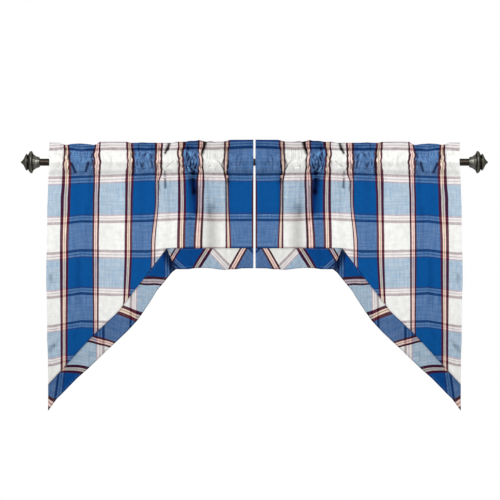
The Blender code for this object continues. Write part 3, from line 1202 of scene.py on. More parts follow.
        # Painted shade makes the colour darker, richer and less speckled in creases; a painted
        # highlight makes it paler on ridges.
        depth = sketch.math("MULTIPLY_ADD", painted_shading, self.hollow_richness, self.display_depth)
        lit = [self.deepened(sketch, colour, depth) for colour in (woven, warp, weft)]
        shown = sketch.math("MULTIPLY", sketch.math("MULTIPLY", painted_shading, painted_shading), -self.speck_fade)
        shown = sketch.math("MULTIPLY_ADD", shown, self.speck_share, self.speck_share)
        specks = sketch.mix(sketch.math("MULTIPLY", share, shown), lit[1], lit[2])
        parts = [sketch.add("ShaderNodeSeparateColor") for _ in ramps]
        for part, colour in zip(parts, (warp, weft)):
            sketch.join(colour, part.inputs[0])
        dark = sketch.math("SUBTRACT", 1.0, parts[0].outputs["Red"])
        pale = sketch.math("MULTIPLY_ADD", parts[1].outputs["Green"], self.pale_rate,
                           -self.pale_start)
        pale_on_dark = sketch.math("MULTIPLY", dark, sketch.math("MAXIMUM", pale, 0.0))
        return sketch.mix(pale_on_dark, lit[0], specks)

    def deepened(self, sketch: NodeSketch, colour: bpy.types.NodeSocket,
                 depth: bpy.types.NodeSocket) -> bpy.types.NodeSocket:
        """Turns a display colour into light.

        Args:
            sketch: The material's nodes.
            colour: The colour as displayed.
            depth: The exponent; a larger one gives a richer and darker colour.

        Returns:
            The colour as light.
        """
        node = sketch.add("ShaderNodeGamma")
        sketch.join(colour, node.inputs["Color"])
        sketch.join(depth, node.inputs["Gamma"])
        return node.outputs["Color"]

    def level(self, sketch: NodeSketch, flat: bpy.types.NodeSocket, slub: bpy.types.NodeSocket,
              painted_shading: bpy.types.NodeSocket) -> bpy.types.NodeSocket:
        """Works out how light the cloth is: wear in soft patches, painted shade in creases and a
        painted highlight on sharp ridges.

        Args:
            sketch: The material's nodes.
            flat: The flat place.
            slub: The threads' uneven thickness.
            painted_shading: The shade painted at the point, below 0 where a highlight is painted.

        Returns:
            The share of the dyed colour that is left.
        """
        patch = sketch.noise(flat, self.patch_grain)
        level = sketch.math("MULTIPLY_ADD", patch, self.patch_contrast,
                            self.brightness - 0.5 * self.patch_contrast)
        cloud = sketch.math("SUBTRACT", sketch.noise(flat, self.cloud_grain), 0.5)
        level = sketch.math("MULTIPLY_ADD", cloud, self.cloud_contrast, level)
        level = sketch.math("MULTIPLY_ADD", slub, self.slub_shade, level)
        # Painted shade darkens creases; a painted highlight lightens ridges.
        kept = sketch.math("MULTIPLY_ADD", painted_shading, -self.hollow_shade, 1.0)
        return sketch.math("MULTIPLY", level, kept)

    def relief(self, sketch: NodeSketch, flat: bpy.types.NodeSocket,
               waves: list[bpy.types.NodeSocket]) -> bpy.types.NodeSocket:
        """Raises the threads and the small rumples of washed cotton.

        Args:
            sketch: The material's nodes.
            flat: The flat place.
            waves: The threads' waves across and down.

        Returns:
            The bumped normal.
        """
        raised = sketch.math("MAXIMUM", *(sketch.math("ABSOLUTE", wave) for wave in waves))
        rumple = sketch.noise(flat, self.rumple_grain)
        raised = sketch.math("MULTIPLY_ADD", rumple, self.rumple_height, raised)
        return sketch.bump(raised, self.bump_strength, self.bump_depth)


@dataclass(frozen=True)
class BronzeFinish:
    """Dark bronze paint, lighter where the piece's attribute says so: wear on the rims, and a
    highlight painted on the cove.
    """

    name: str
    dark: Colour = (0.040, 0.032, 0.026)
    light: Colour = (0.18, 0.18, 0.155)
    rim: Colour = (0.30, 0.30, 0.28)
    lightening_grain: Grain = Grain(260.0, 4.0)
    lightening_contrast: float = 0.9
    lightening_least: float = 0.55
    roughness: float = 0.29
    speckle_grain: Grain = Grain(900.0, 2.0)
    speckle_contrast: float = 0.22
    bump_strength: float = 0.25
    bump_depth: float = 0.2 * MM

    def make(self) -> bpy.types.Material:
        """Builds the material.

        Returns:
            The dark bronze.
        """
        sketch, shader = new_material(self.name)
        place = sketch.add("ShaderNodeTexCoord").outputs["Object"]
        grain = sketch.noise(place, self.lightening_grain)
        grain = sketch.math("MULTIPLY_ADD", grain, self.lightening_contrast, self.lightening_least)
        wear_and_highlight = sketch.add("ShaderNodeAttribute", attribute_name="wear_and_highlight").outputs["Fac"]
        # Lighter on worn rims, and on the cove where a highlight is painted.
        wear_and_highlight_share = sketch.math("MULTIPLY", wear_and_highlight, grain)
        tone = sketch.mix(wear_and_highlight_share, (*self.dark, 1.0), (*self.light, 1.0))
        sketch.join(tone, shader.inputs["Base Color"])
        speckle = sketch.noise(place, self.speckle_grain)
        rough = sketch.math("MULTIPLY_ADD", speckle, self.speckle_contrast,
                            self.roughness - 0.5 * self.speckle_contrast)
        sketch.join(rough, shader.inputs["Roughness"])
        bumped = sketch.bump(speckle, self.bump_strength, self.bump_depth)
        sketch.join(bumped, shader.inputs["Normal"])
        shader.inputs["Metallic"].default_value = 1.0
        shader.inputs["Specular Tint"].default_value = (*self.rim, 1.0)
        return sketch.owner


@dataclass(frozen=True)
class ThreadFinish:
    """Twisted sewing thread."""

    name: str
    tone: Colour = (0.26, 0.34, 0.50)
    twist_grain: Grain = Grain(2600.0, 1.0)
    twist_shade: float = 0.8
    roughness: float = 0.7

    def make(self) -> bpy.types.Material:
        """Builds the material.

        Returns:
            The thread.
        """
        sketch, shader = new_material(self.name)
        place = sketch.add("ShaderNodeTexCoord").outputs["Object"]
        twist = sketch.noise(place, self.twist_grain)
        shaded = tuple(self.twist_shade * part for part in self.tone)
        tone = sketch.mix(twist, (*shaded, 1.0), (*self.tone, 1.0))
        sketch.join(tone, shader.inputs["Base Color"])
        shader.inputs["Roughness"].default_value = self.roughness
        return sketch.owner


def new_piece(name: str, bm: bmesh.types.BMesh,
              material: bpy.types.Material) -> bpy.types.Object:
    """Makes an object of a finished mesh and puts it in the scene.

    Args:
        name: The object's name.
        bm: Its mesh, which is used up.
        material: Its finish.

    Returns:
        The object.
    """
    mesh = bpy.data.meshes.new(name)
    bm.to_mesh(mesh)
    bm.free()
    mesh.materials.append(material)
    piece = bpy.data.objects.new(name, mesh)
    bpy.context.scene.collection.objects.link(piece)
    return piece


# ---------------------------------------------------------------------------------------------
# Stitches
# ---------------------------------------------------------------------------------------------


class SewnLine(NamedTuple):
    """A line along which the thread shows: its points, and the way out of the cloth."""

    points: Field
    out: float


@dataclass
class Stitches:
    """The stitches of one seam, half sunk in the cloth that they hold."""

    name: str
    lines: tuple[SewnLine, ...]
    pitch: float = 0.0034
    length: float = 0.0025
    thread: float = 0.00036
    proud_share: float = 0.2
    sides: int = 5
    cloth: float = 0.0009

    def sew(self, bm: bmesh.types.BMesh, line: SewnLine) -> None:
        """Sews one line of stitches.

        Args:
            bm: The mesh that takes them.
            line: Where the thread shows.
        """
        steps = np.linalg.norm(np.diff(line.points, axis=0), axis=1)
        way = np.concatenate([[0.0], np.cumsum(steps)])
        starts = np.arange(0.5 * self.pitch, way[-1] - self.length, self.pitch)
        ends = [np.stack([np.interp(starts + shift, way, line.points[:, axis])
                          for axis in range(3)], axis=1)
                for shift in (0.0, self.length)]
        proud = 0.5 * self.cloth + self.proud_share * self.thread
        lift = Vector((0.0, line.out * proud, 0.0))
        for start, end in zip(*ends):
            along = Vector(end - start)
            place = Matrix.Translation(Vector(0.5 * (start + end)) + lift)
            turn = along.to_track_quat("Z", "X").to_matrix().to_4x4()
            bmesh.ops.create_cone(bm, cap_ends=True, segments=self.sides,
                                  radius1=0.5 * self.thread, radius2=0.5 * self.thread,
                                  depth=along.length, matrix=place @ turn)

    def build(self, material: bpy.types.Material, slot: str) -> bpy.types.Object:
        """Builds and dresses the stitches.

        Args:
            material: The thread.
            slot: Not used.

        Returns:
            The stitches' piece.
        """
        bm = bmesh.new()
        for line in self.lines:
            self.sew(bm, line)
        piece = new_piece(self.name, bm, material)
        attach(piece, ROOT)
        return piece


# ---------------------------------------------------------------------------------------------
# Cloth pieces
# ---------------------------------------------------------------------------------------------


class Calm(NamedTuple):
    """Rows of a sheet, from first to last, that keep only every so many columns."""

    first: int
    last: int
    every: int


@dataclass
class ClothGrid:
    """A sheet as a grid of columns and rows, each point with its place hung and flat."""

    x: Field
    y: Field
    z: Field
    warp: Field
    weft: Field
    painted_shading: Field
    calm: tuple[Calm, ...] = ()

    def flat_size(self) -> tuple[float, float]:
        """Width and length of the rectangle that the flat cloth fills.

        Returns:
            The reach across and down, in metres.
        """
        return float(np.ptp(self.warp)), float(np.ptp(self.weft))

    def flat_area(self) -> float:
        """Area of the flat cloth.

        Returns:
            The area of the grid's cells in the flat cloth, in square metres.
        """
        corners = (np.s_[:-1, :-1], np.s_[1:, :-1], np.s_[1:, 1:], np.s_[:-1, 1:])
        total = np.zeros((self.x.shape[0] - 1, self.x.shape[1] - 1))
        for here, after in zip(corners, corners[1:] + corners[:1]):
            total = total + self.warp[here] * self.weft[after] - self.warp[after] * self.weft[here]
        return float(0.5 * np.abs(total).sum())

    def points(self) -> Field:
        """Hung places of the grid's points, by column, row and axis."""
        return np.stack([self.x, self.y, self.z], axis=2)

    def strip_size(self) -> tuple[float, float]:
        """Length and width of a strip whose columns run across it.

        Returns:
            The longer of its two long edges and its widest column, in metres.
        """
        points = self.points()
        along = np.linalg.norm(np.diff(points, axis=0), axis=2).sum(axis=0)
        wide = np.linalg.norm(np.diff(points, axis=1), axis=2).sum(axis=1)
        return float(along.max()), float(wide.max())

    def strip_area(self) -> float:
        """Area of the sheet as it hangs.

        Returns:
            The area of the grid's cells, in square metres.
        """
        points = self.points()
        first = points[1:, 1:] - points[:-1, :-1]
        second = points[:-1, 1:] - points[1:, :-1]
        return float(0.5 * np.linalg.norm(np.cross(first, second), axis=2).sum())

    def thin(self, bm: bmesh.types.BMesh, place: bmesh.types.BMLayerItem) -> None:
        """Takes out the columns that the calm rows can do without.

        Args:
            bm: The mesh.
            place: The layer that holds each point's number in the grid.
        """
        columns, rows = self.x.shape
        for calm in self.calm:
            spare = []
            for edge in bm.edges:
                (column, row), (other, other_row) = (divmod(vert[place], rows)
                                                     for vert in edge.verts)
                inside = calm.first <= min(row, other_row) and max(row, other_row) <= calm.last
                if inside and column == other and column % calm.every and column < columns - 1:
                    spare.append(edge)
            bmesh.ops.dissolve_edges(bm, edges=spare, use_verts=True, use_face_split=False)

    def mark(self, mesh: bpy.types.Mesh) -> None:
        """Gives each point its painted crease shade and its place in the flat cloth.

        Args:
            mesh: The sheet's mesh, which still holds each point's number in the grid.
        """
        index = np.zeros(len(mesh.vertices), dtype=np.int32)
        mesh.attributes["place"].data.foreach_get("value", index)
        mesh.attributes.remove(mesh.attributes["place"])
        painted_shading = mesh.attributes.new("painted_shading", "FLOAT", "POINT")
        painted_shading.data.foreach_set("value", self.painted_shading.ravel()[index])
        corner = np.zeros(len(mesh.loops), dtype=np.int32)
        mesh.loops.foreach_get("vertex_index", corner)
        flat = np.stack([grid.ravel()[index[corner]] for grid in (self.warp, self.weft)], axis=1)
        mesh.uv_layers.new(name="flat").data.foreach_set("uv", flat.ravel())

    def make(self, name: str, thickness: float, material: bpy.types.Material) -> bpy.types.Object:
        """Builds the sheet.

        Args:
            name: The piece's name.
            thickness: The cloth's thickness.
            material: Its finish.

        Returns:
            The piece.
        """
        columns, rows = self.x.shape
        bm = bmesh.new()
        place = bm.verts.layers.int.new("place")
        bmesh.ops.create_grid(bm, x_segments=columns - 1, y_segments=rows - 1, size=0.5)
        for vert in bm.verts:
            column = round((vert.co.x + 0.5) * (columns - 1))
            row = round((vert.co.y + 0.5) * (rows - 1))
            vert[place] = column * rows + row
            vert.co = (self.x[column, row], self.y[column, row], self.z[column, row])
        if self.x[-1, 0] < self.x[0, 0]:
            bmesh.ops.reverse_faces(bm, faces=bm.faces[:])
        self.thin(bm, place)
        piece = new_piece(name, bm, material)
        self.mark(piece.data)
        piece.data.shade_smooth()
        solid = piece.modifiers.new("thickness", "SOLIDIFY")
        solid.thickness = thickness
        solid.offset = 0.0
        return piece


@dataclass
class Panel:
    """One gathered panel: up the front, over the frill, down the back to below the pocket."""

    side: float
    word: str
    drape: Drape = field(default_factory=Drape)
    weave: Weave = field(default_factory=Weave)
    cloth: float = 0.0009
    column_step: float = 0.00207
    crumpled_from: float = 0.36
    crumpled_to: float = 0.62
    crumpled_share: float = 0.78
    back_rows: int = 20
    frill_rows: int = 17
    turn_rows: int = 5
    pocket_rows: int = 48
    under_rows: int = 16
    under: float = -0.075
    hanging_rows: int = 44
    row_crowding: float = 1.1
    back_calm: int = 4
    front_calm: int = 2
    calm_margin: int = 4
    seam_allowance: float = 0.006
    shared_fade: float = 0.012
    back_echo: float = 0.35

    def columns(self) -> Field:
        """Distances across of the mesh's columns, closer together where the cloth crumples.

        Returns:
            The distances, from the outer edge to the inner one.
        """
        fine = self.column_step * self.crumpled_share
        runs = ((0.0, self.crumpled_from, self.column_step),
                (self.crumpled_from, self.crumpled_to, fine),
                (self.crumpled_to, self.drape.width, self.column_step))
        stops = [np.linspace(start, end, round((end - start) / step), endpoint=False)
                 for start, end, step in runs]
        return np.append(np.concatenate(stops), self.drape.width)

    def front(self, across: Field, height: Field) -> Field:
        """Y of the front layer.

        Args:
            across: Distances from the outer edge.
            height: Heights over the rod's axis.

        Returns:
            Y at each point.
        """
        drape = self.drape
        sunk = drape.relief(across, height, drape.all_creases()) + drape.stitch_dents(height)
        spread = drape.pocket_half_width(height) + drape.puff(across, height)
        spread = spread + drape.slack(height) - sunk
        inside = (height < drape.heading_stitch) & (height > drape.pocket_stitch)
        spread = np.where(inside, np.maximum(spread, drape.clearance(height)), spread)
        return drape.fold_depth(across, height) - spread

    def back(self, across: Field, height: Field) -> Field:
        """Y of the back layer, which shares the frill's creases and is calmer below them.

        Args:
            across: Distances from the outer edge.
            height: Heights over the rod's axis.

        Returns:
            Y at each point.
        """
        drape = self.drape
        stitch = drape.heading_stitch
        shared = ease(height, stitch - self.shared_fade, stitch)
        sunk = drape.relief(across, height, drape.all_creases())
        sunk = sunk * (shared - self.back_echo * (1.0 - shared))
        spread = drape.pocket_half_width(height) + drape.puff(across, height) + sunk
        spread = np.where(height < stitch, np.maximum(spread, drape.clearance(height)), spread)
        return drape.fold_depth(across, height) + spread

    def grid(self) -> ClothGrid:
        """Works out the sheet from the hem behind the pocket, over the frill, to the band.

        Returns:
            The sheet's grid.
        """
        drape = self.drape
        across = self.columns()
        top = drape.top_height(across)
        turn = (top - drape.layer)[:, None]
        bottom = seam_height(across)[:, None] - self.seam_allowance
        line = across[:, None]

        below = np.linspace(drape.back_hem, drape.heading_stitch, self.back_rows)[None, :]
        share = np.linspace(0.0, 1.0, self.frill_rows + 1)[None, 1:]
        back_z = np.concatenate([below + 0.0 * line,
                                 drape.heading_stitch + (turn - drape.heading_stitch) * share], 1)
        back_y = self.back(line, back_z)

        angle = (math.pi * np.arange(1, self.turn_rows) / self.turn_rows)[None, :]
        turn_z = turn + drape.layer * np.sin(angle)
        ends_y = (self.back(line, turn), self.front(line, turn))
        turn_y = 0.5 * (ends_y[0] + ends_y[1]) + 0.5 * (ends_y[0] - ends_y[1]) * np.cos(angle)

        pocket = np.linspace(drape.heading_stitch, drape.pocket_stitch, self.pocket_rows + 1)
        frill_z = turn + (drape.heading_stitch - turn) * (share - share[0, 0])
        under = np.linspace(drape.pocket_stitch, self.under, self.under_rows + 1)[1:]
        hang = (np.arange(1, self.hanging_rows + 1) / self.hanging_rows)[None, :]
        hang_z = self.under + (bottom - self.under) * hang ** self.row_crowding
        front_z = np.concatenate([frill_z, pocket[None, :] + 0.0 * line,
                                  under[None, :] + 0.0 * line, hang_z], 1)
        front_y = self.front(line, front_z)

        height = np.concatenate([back_z, turn_z, front_z], 1)
        depth = np.concatenate([back_y, turn_y, front_y], 1)
        spread = across[:, None] + 0.0 * height
        mirrored = 2.0 * turn - height
        behind = np.arange(height.shape[1]) < back_z.shape[1]
        read = np.where(behind[None, :], mirrored, height)
        level = np.clip(read, STRIPE_LEVELS[-1] * MM, STRIPE_LEVELS[0] * MM)
        painted_shading = drape.painted_shading(spread, height, drape.all_creases())
        painted_shading = painted_shading * np.where(behind[None, :], 0.0, 1.0)
        last = height.shape[1] - 1
        calm = (Calm(0, self.back_rows - self.calm_margin, self.back_calm),
                Calm(last - self.hanging_rows, last, self.front_calm))
        return ClothGrid(
            x=drape.place_x(self.side, spread, height), y=depth, z=height,
            warp=self.weave.warp_place(spread, level), weft=self.weave.weft_place(spread, read),
            painted_shading=painted_shading, calm=calm)

    def sewn_lines(self, points: Field) -> tuple[SewnLine, ...]:
        """Finds the heading's and the pocket's rows of stitches, in front and behind.

        Args:
            points: The sheet's points.

        Returns:
            The lines that show thread.
        """
        front = self.back_rows + self.frill_rows + self.turn_rows - 1 + self.frill_rows
        pocket_row = round((self.drape.pocket_stitch - self.drape.back_hem) * (self.back_rows - 1)
                           / (self.drape.heading_stitch - self.drape.back_hem))
        return (SewnLine(points[:, front], -1.0),
                SewnLine(points[:, front + self.pocket_rows], -1.0),
                SewnLine(points[:, self.back_rows - 1], 1.0),
                SewnLine(points[:, pocket_row], 1.0))

    def build(self, material: bpy.types.Material, thread: bpy.types.Material) -> bpy.types.Object:
        """Builds and dresses the panel.

        Args:
            material: The plaid.
            thread: The sewing thread.

        Returns:
            The panel's piece.
        """
        grid = self.grid()
        piece = grid.make(f"plaid_panel_{self.word}", self.cloth, material)
        sewn = Stitches(f"pocket_stitches_{self.word}", self.sewn_lines(grid.points()))
        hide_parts(f"panel_{self.word}")
        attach(piece, ROOT)
        grid.flat_size()
        grid.flat_area()
        sewn.build(thread, "plaid_cotton")
        return piece


class BandRun(Enum):
    """The two lengths of a panel's bias band."""

    SLOPE = "slope"
    LEVEL = "level"


class BiasLine(NamedTuple):
    """A plaid line on a band: its flat place, and where it meets the seam and the hem."""

    flat: float
    seam: float
    hem: float


#                     flat    seam   hem, in millimetres
BIAS_WARP = {
    BandRun.SLOPE: (BiasLine(78.0, 402, 480), BiasLine(165.2, 314, 389),
                    BiasLine(273.1, 241, 307), BiasLine(381.0, 140, 217),
                    BiasLine(488.9, 46, 126), BiasLine(596.8, -26, 14)),
    BandRun.LEVEL: (BiasLine(381.0, 437, 395), BiasLine(273.1, 538, 497),
                    BiasLine(165.2, 659, 619)),
}
BIAS_WEFT = {
    BandRun.SLOPE: (BiasLine(64.0, 401, 401), BiasLine(195.2, 290, 287),
                    BiasLine(318.7, 174, 174), BiasLine(449.9, 46, 35)),
    BandRun.LEVEL: (BiasLine(64.0, 378, 459), BiasLine(195.2, 539, 608),
                    BiasLine(318.7, 691, 758)),
}


def bias_place(lines: tuple[BiasLine, ...], across: Field, share: Field) -> Field:
    """Reads the flat place of points on a band from the plaid lines beside them.

    Args:
        lines: The plaid lines of one thread direction.
        across: Distances from the panel's outer edge.
        share: 0 on the seam and 1 on the hem.

    Returns:
        The flat place of each point, in metres.
    """
    rows = sorted(lines, key=lambda line: line.seam)
    flat = np.array([line.flat for line in rows])
    seam = np.array([line.seam for line in rows])
    hem = np.array([line.hem for line in rows])
    place = np.zeros(across.shape)
    for column, row in np.ndindex(across.shape):
        at = seam + (hem - seam) * share[column, row]
        here = across[column, row] / MM
        last = int(np.clip(np.searchsorted(at, here), 1, len(at) - 1))
        rate = (flat[last] - flat[last - 1]) / (at[last] - at[last - 1])
        place[column, row] = flat[last - 1] + (here - at[last - 1]) * rate
    return place * MM


@dataclass
class BiasBand:
    """One length of the bias band along a panel's lower edge."""

    side: float
    word: str
    run: BandRun
    drape: Drape = field(default_factory=Drape)
    cloth: float = 0.0013
    panel_cloth: float = 0.0014
    solid_cloth: float = 0.0016
    gap: float = 0.0004
    seam_allowance: float = 0.006
    mitre_gap: float = 0.00006
    # Shade painted where the mitre is tucked under, and at the level run's corner beside it.
    mitre_shade: float = 0.9
    mitre_shade_run: Spread = (0.006, 0.021)
    corner_shade: float = 0.35
    corner_shade_run: Spread = (0.006, 0.014)
    column_step: float = 0.0035
    rows: int = 18
    ripple: float = 0.0022
    ripple_length: float = 0.087
    ripple_lean: float = 0.3
    ripple_forward: float = 0.6
    ripple_start: float = 0.12
    short_ripple_share: float = 0.5
    short_ripple_length: float = 0.049
    # Shade painted over the whole band and along its seam and hem.
    shade: float = 0.16
    edge_shade: float = 0.5
    seam_shade_run: Spread = (0.0, 0.08)
    hem_shade_run: Spread = (0.95, 1.02)
    stitch_rows: tuple[int, int] = (1, -3)

    def edges(self) -> tuple[Field, Field, Field, Field]:
        """Works out the band's two long edges.

        Returns:
            Distance across and height of the seam, then of the hem, at each column.
        """
        if self.run is BandRun.SLOPE:
            across = np.linspace(0.0, MITRE, round(MITRE / self.column_step))
            hem = across + MITRE_LEAN * ease(across, 0.0, MITRE)
            trim = -self.mitre_gap * ease(across, MITRE - MITRE_LEAN, MITRE)
            stops, heights = zip(*SLOPE_HEM)
        else:
            width = self.drape.width
            across = np.linspace(MITRE, width, round((width - MITRE) / self.column_step))
            hem = across + MITRE_LEAN * (1.0 - ease(across, MITRE, width))
            trim = self.mitre_gap * (1.0 - ease(across, MITRE, MITRE + MITRE_LEAN))
            stops, heights = zip(*LEVEL_HEM)
        hem_z = np.interp(hem / MM, stops, heights) * MM
        return across + trim, seam_height(across), hem + trim, hem_z

    def flare(self, across: Field, height: Field, share: Field) -> Field:
        """Distance that the band ripples back from the seam's surface.

        Args:
            across: Distances from the panel's outer edge.
            height: Heights over the rod's axis.
            share: 0 on the seam and 1 on the hem.

        Returns:
            The distance at each point.
        """
        turn = 2.0 * math.pi
        leaning = across + self.ripple_lean * height
        ripple = self.ripple * np.sin(turn * leaning / self.ripple_length)
        short = np.sin(turn * (across - height) / self.short_ripple_length)
        ripple = ripple + self.short_ripple_share * self.ripple * short
        return (ripple - self.ripple_forward * self.ripple) * ease(share, self.ripple_start, 1.0)

    def shading(self, across: Field, share: Field) -> Field:
        """Shade painted over the band, along the seam and the hem, and where the mitre is tucked
        under.

        Args:
            across: Distances from the panel's outer edge.
            share: 0 on the seam and 1 on the hem.

        Returns:
            The "hollow" value of each point.
        """
        tip = MITRE + MITRE_LEAN * share - across
        tucked = np.where(tip > 0.0, self.mitre_shade * (1.0 - ease(tip, *self.mitre_shade_run)),
                          self.corner_shade * (1.0 - ease(-tip, *self.corner_shade_run)))
        edges = 1.0 - ease(share, *self.seam_shade_run) + ease(share, *self.hem_shade_run)
        return self.shade + tucked + self.edge_shade * edges

    def grid(self) -> ClothGrid:
        """Works out the band's sheet.

        Returns:
            The sheet's grid.
        """
        drape = self.drape
        seam, seam_z, hem, hem_z = (edge[:, None] for edge in self.edges())
        share = np.linspace(0.0, 1.0, self.rows)[None, :]
        across = seam + (hem - seam) * share
        height = seam_z + (hem_z - seam_z) * share
        lift = drape.layer + 0.5 * (self.panel_cloth + self.solid_cloth) + self.gap
        sunk = drape.relief(across, height, list(CREASES))
        depth = drape.fold_depth(across, height) + sunk - lift
        share = share + 0.0 * across
        return ClothGrid(
            x=drape.place_x(self.side, across, height),
            y=depth + self.flare(across, height, share), z=height,
            warp=bias_place(BIAS_WARP[self.run], across, share),
            weft=bias_place(BIAS_WEFT[self.run], across, share),
            painted_shading=self.shading(across, share))

    def build(self, material: bpy.types.Material, thread: bpy.types.Material,
              panel: bpy.types.Object) -> bpy.types.Object:
        """Builds and dresses the band.

        Args:
            material: The plaid, cut on the bias.
            thread: The sewing thread.
            panel: Not used.

        Returns:
            The band's piece.
        """
        grid = self.grid()
        lines = tuple(SewnLine(grid.points()[:, row], -1.0) for row in self.stitch_rows)
        sewn = Stitches(f"band_stitches_{self.run.value}_{self.word}", lines, cloth=self.cloth)
        piece = grid.make(f"bias_band_{self.run.value}_{self.word}", self.cloth, material)
        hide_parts(f"band_{self.run.value}_{self.word}")
        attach(piece, ROOT)
        grid.strip_size()
        grid.strip_area()
        sewn.build(thread, "bias_plaid_cotton")
        return piece


# ---------------------------------------------------------------------------------------------
# Rod and finials
# ---------------------------------------------------------------------------------------------


def ring(bm: bmesh.types.BMesh, sides: int, radius: float, x: float) -> list[bmesh.types.BMEdge]:
    """Adds a ring of points round the X axis, with flats up, down, front and back.

    Args:
        bm: The mesh.
        sides: The number of sides.
        radius: The radius to the corners.
        x: The ring's place along the axis.

    Returns:
        The ring's edges.
    """
    turned = Matrix.Translation((x, 0.0, 0.0)) @ Matrix.Rotation(0.5 * math.pi, 4, "Y")
    turned = turned @ Matrix.Rotation(math.pi / sides, 4, "Z")
    made = bmesh.ops.create_circle(bm, segments=sides, radius=radius, matrix=turned)
    return list({edge for vert in made["verts"] for edge in vert.link_edges})


def metal_piece(name: str, bm: bmesh.types.BMesh, material: bpy.types.Material,
                sharp_angle: float) -> bpy.types.Object:
    """Finishes a metal piece.

    Args:
        name: The piece's name.
        bm: Its mesh, which is used up.
        material: Its finish.
        sharp_angle: Edges that turn by more than this many degrees stay crisp.

    Returns:
        The piece.
    """
    bmesh.ops.recalc_face_normals(bm, faces=bm.faces[:])
    piece = new_piece(name, bm, material)
    piece.data.shade_smooth()
    piece.data.set_sharp_from_angle(angle=math.radians(sharp_angle))
    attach(piece, ROOT)
    return piece


@dataclass
class Rod:
    """The round tube that carries both panels."""

    radius: float = 0.012
    wall: float = 0.0012
    length: float = 1.4498
    sides: int = 96
    rim: float = 0.0003
    sharp_angle: float = 35.0

    def build(self, material: bpy.types.Material) -> bpy.types.Object:
        """Builds and dresses the rod.

        Args:
            material: Its bronze.

        Returns:
            The rod's piece.
        """
        bm = bmesh.new()
        end = 0.5 * self.length
        inner = self.radius - self.wall
        profile = ((inner, -end), (self.radius - self.rim, -end), (self.radius, -end + self.rim),
                   (self.radius, end - self.rim), (self.radius - self.rim, end), (inner, end))
        loops = [ring(bm, self.sides, radius, x) for radius, x in profile]
        for first, second in zip(loops, loops[1:] + loops[:1]):
            bmesh.ops.bridge_loops(bm, edges=first + second)
        piece = metal_piece("rod_tube", bm, material, self.sharp_angle)
        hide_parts("rod")
        return piece


class Turning(NamedTuple):
    """A ring of the finial: its distance from the collar's end, its flat's radius, and how much
    lighter its bronze is, from wear on rims and a highlight painted on the cove.
    """

    out: float
    radius: float
    wear_and_highlight: float


#                 out     radius  wear and painted highlight, sizes in millimetres
TURNINGS = (
    Turning(0.0, 15.6, 0.4),
    Turning(0.8, 16.8, 0.8),
    Turning(3.4, 17.9, 0.9),
    Turning(4.2, 17.4, 0.3),
    Turning(6.6, 18.8, 0.7),
    Turning(10.0, 19.7, 1.0),
    Turning(13.3, 21.4, 1.0),
    Turning(16.7, 24.0, 0.8),
    Turning(20.1, 26.6, 0.5),
    Turning(21.2, 27.2, 0.7),
    Turning(21.8, 27.4, 0.1),
    Turning(23.4, 31.2, 0.2),
    Turning(25.2, 35.4, 0.2),
    Turning(26.6, 37.2, 0.8),
    Turning(28.8, 37.6, 0.8),
    Turning(30.4, 36.6, 0.6),
    Turning(33.2, 34.2, 0.5),
    Turning(36.6, 28.2, 0.3),
    Turning(37.2, 27.2, 0.6),
    Turning(38.6, 23.4, 0.0),
    Turning(39.8, 23.4, 0.0),
    Turning(41.4, 26.4, 0.9),
    Turning(43.4, 28.2, 1.0),
    Turning(44.8, 27.6, 1.0),
    Turning(47.1, 24.8, 0.7),
    Turning(50.5, 17.9, 0.6),
    Turning(51.1, 17.2, 0.6),
    Turning(54.0, 11.0, 0.5),
    Turning(57.4, 7.2, 0.5),
    Turning(61.4, 3.2, 0.6),
    Turning(63.4, 2.0, 0.5),
)


@dataclass
class Finial:
    """One cast finial of eight-sided steps, plugged into the rod's end."""

    side: float
    word: str
    sides: int = 8
    collar: float = 0.7252
    spigot_radius: float = 0.0104
    spigot_length: float = 0.024
    edge: float = 0.0005
    shortest_step: float = 0.00001
    sharp_angle: float = 24.0

    def build(self, material: bpy.types.Material) -> bpy.types.Object:
        """Builds and dresses the finial.

        Args:
            material: Its bronze.

        Returns:
            The finial's piece.
        """
        bm = bmesh.new()
        # Worn rims, and a highlight painted on the cove, for the bronze to show lighter.
        wear = bm.verts.layers.float.new("wear_and_highlight")
        corner = 1.0 / math.cos(math.pi / self.sides)
        start = self.side * self.collar
        loops = [ring(bm, self.sides, self.spigot_radius, start - self.side * self.spigot_length),
                 ring(bm, self.sides, self.spigot_radius, start)]
        for turning in TURNINGS:
            loop = ring(bm, self.sides, turning.radius * MM * corner,
                        start + self.side * turning.out * MM)
            for edge in loop:
                for vert in edge.verts:
                    vert[wear] = turning.wear_and_highlight
            loops.append(loop)
        for first, second in zip(loops, loops[1:]):
            bmesh.ops.bridge_loops(bm, edges=first + second)
        for end in (loops[0], loops[-1]):
            bmesh.ops.contextual_create(bm, geom=end)
        ridges = [edge for edge in bm.edges
                  if abs(edge.verts[0].co.x - edge.verts[1].co.x) > self.shortest_step]
        bmesh.ops.bevel(bm, geom=ridges, offset=self.edge, affect="EDGES", segments=2, profile=0.5,
                        material=-1, clamp_overlap=True)
        piece = metal_piece(f"cast_finial_{self.word}", bm, material, self.sharp_angle)
        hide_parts(f"finial_{self.word}")
        return piece


# ---------------------------------------------------------------------------------------------
# Studio
# ---------------------------------------------------------------------------------------------


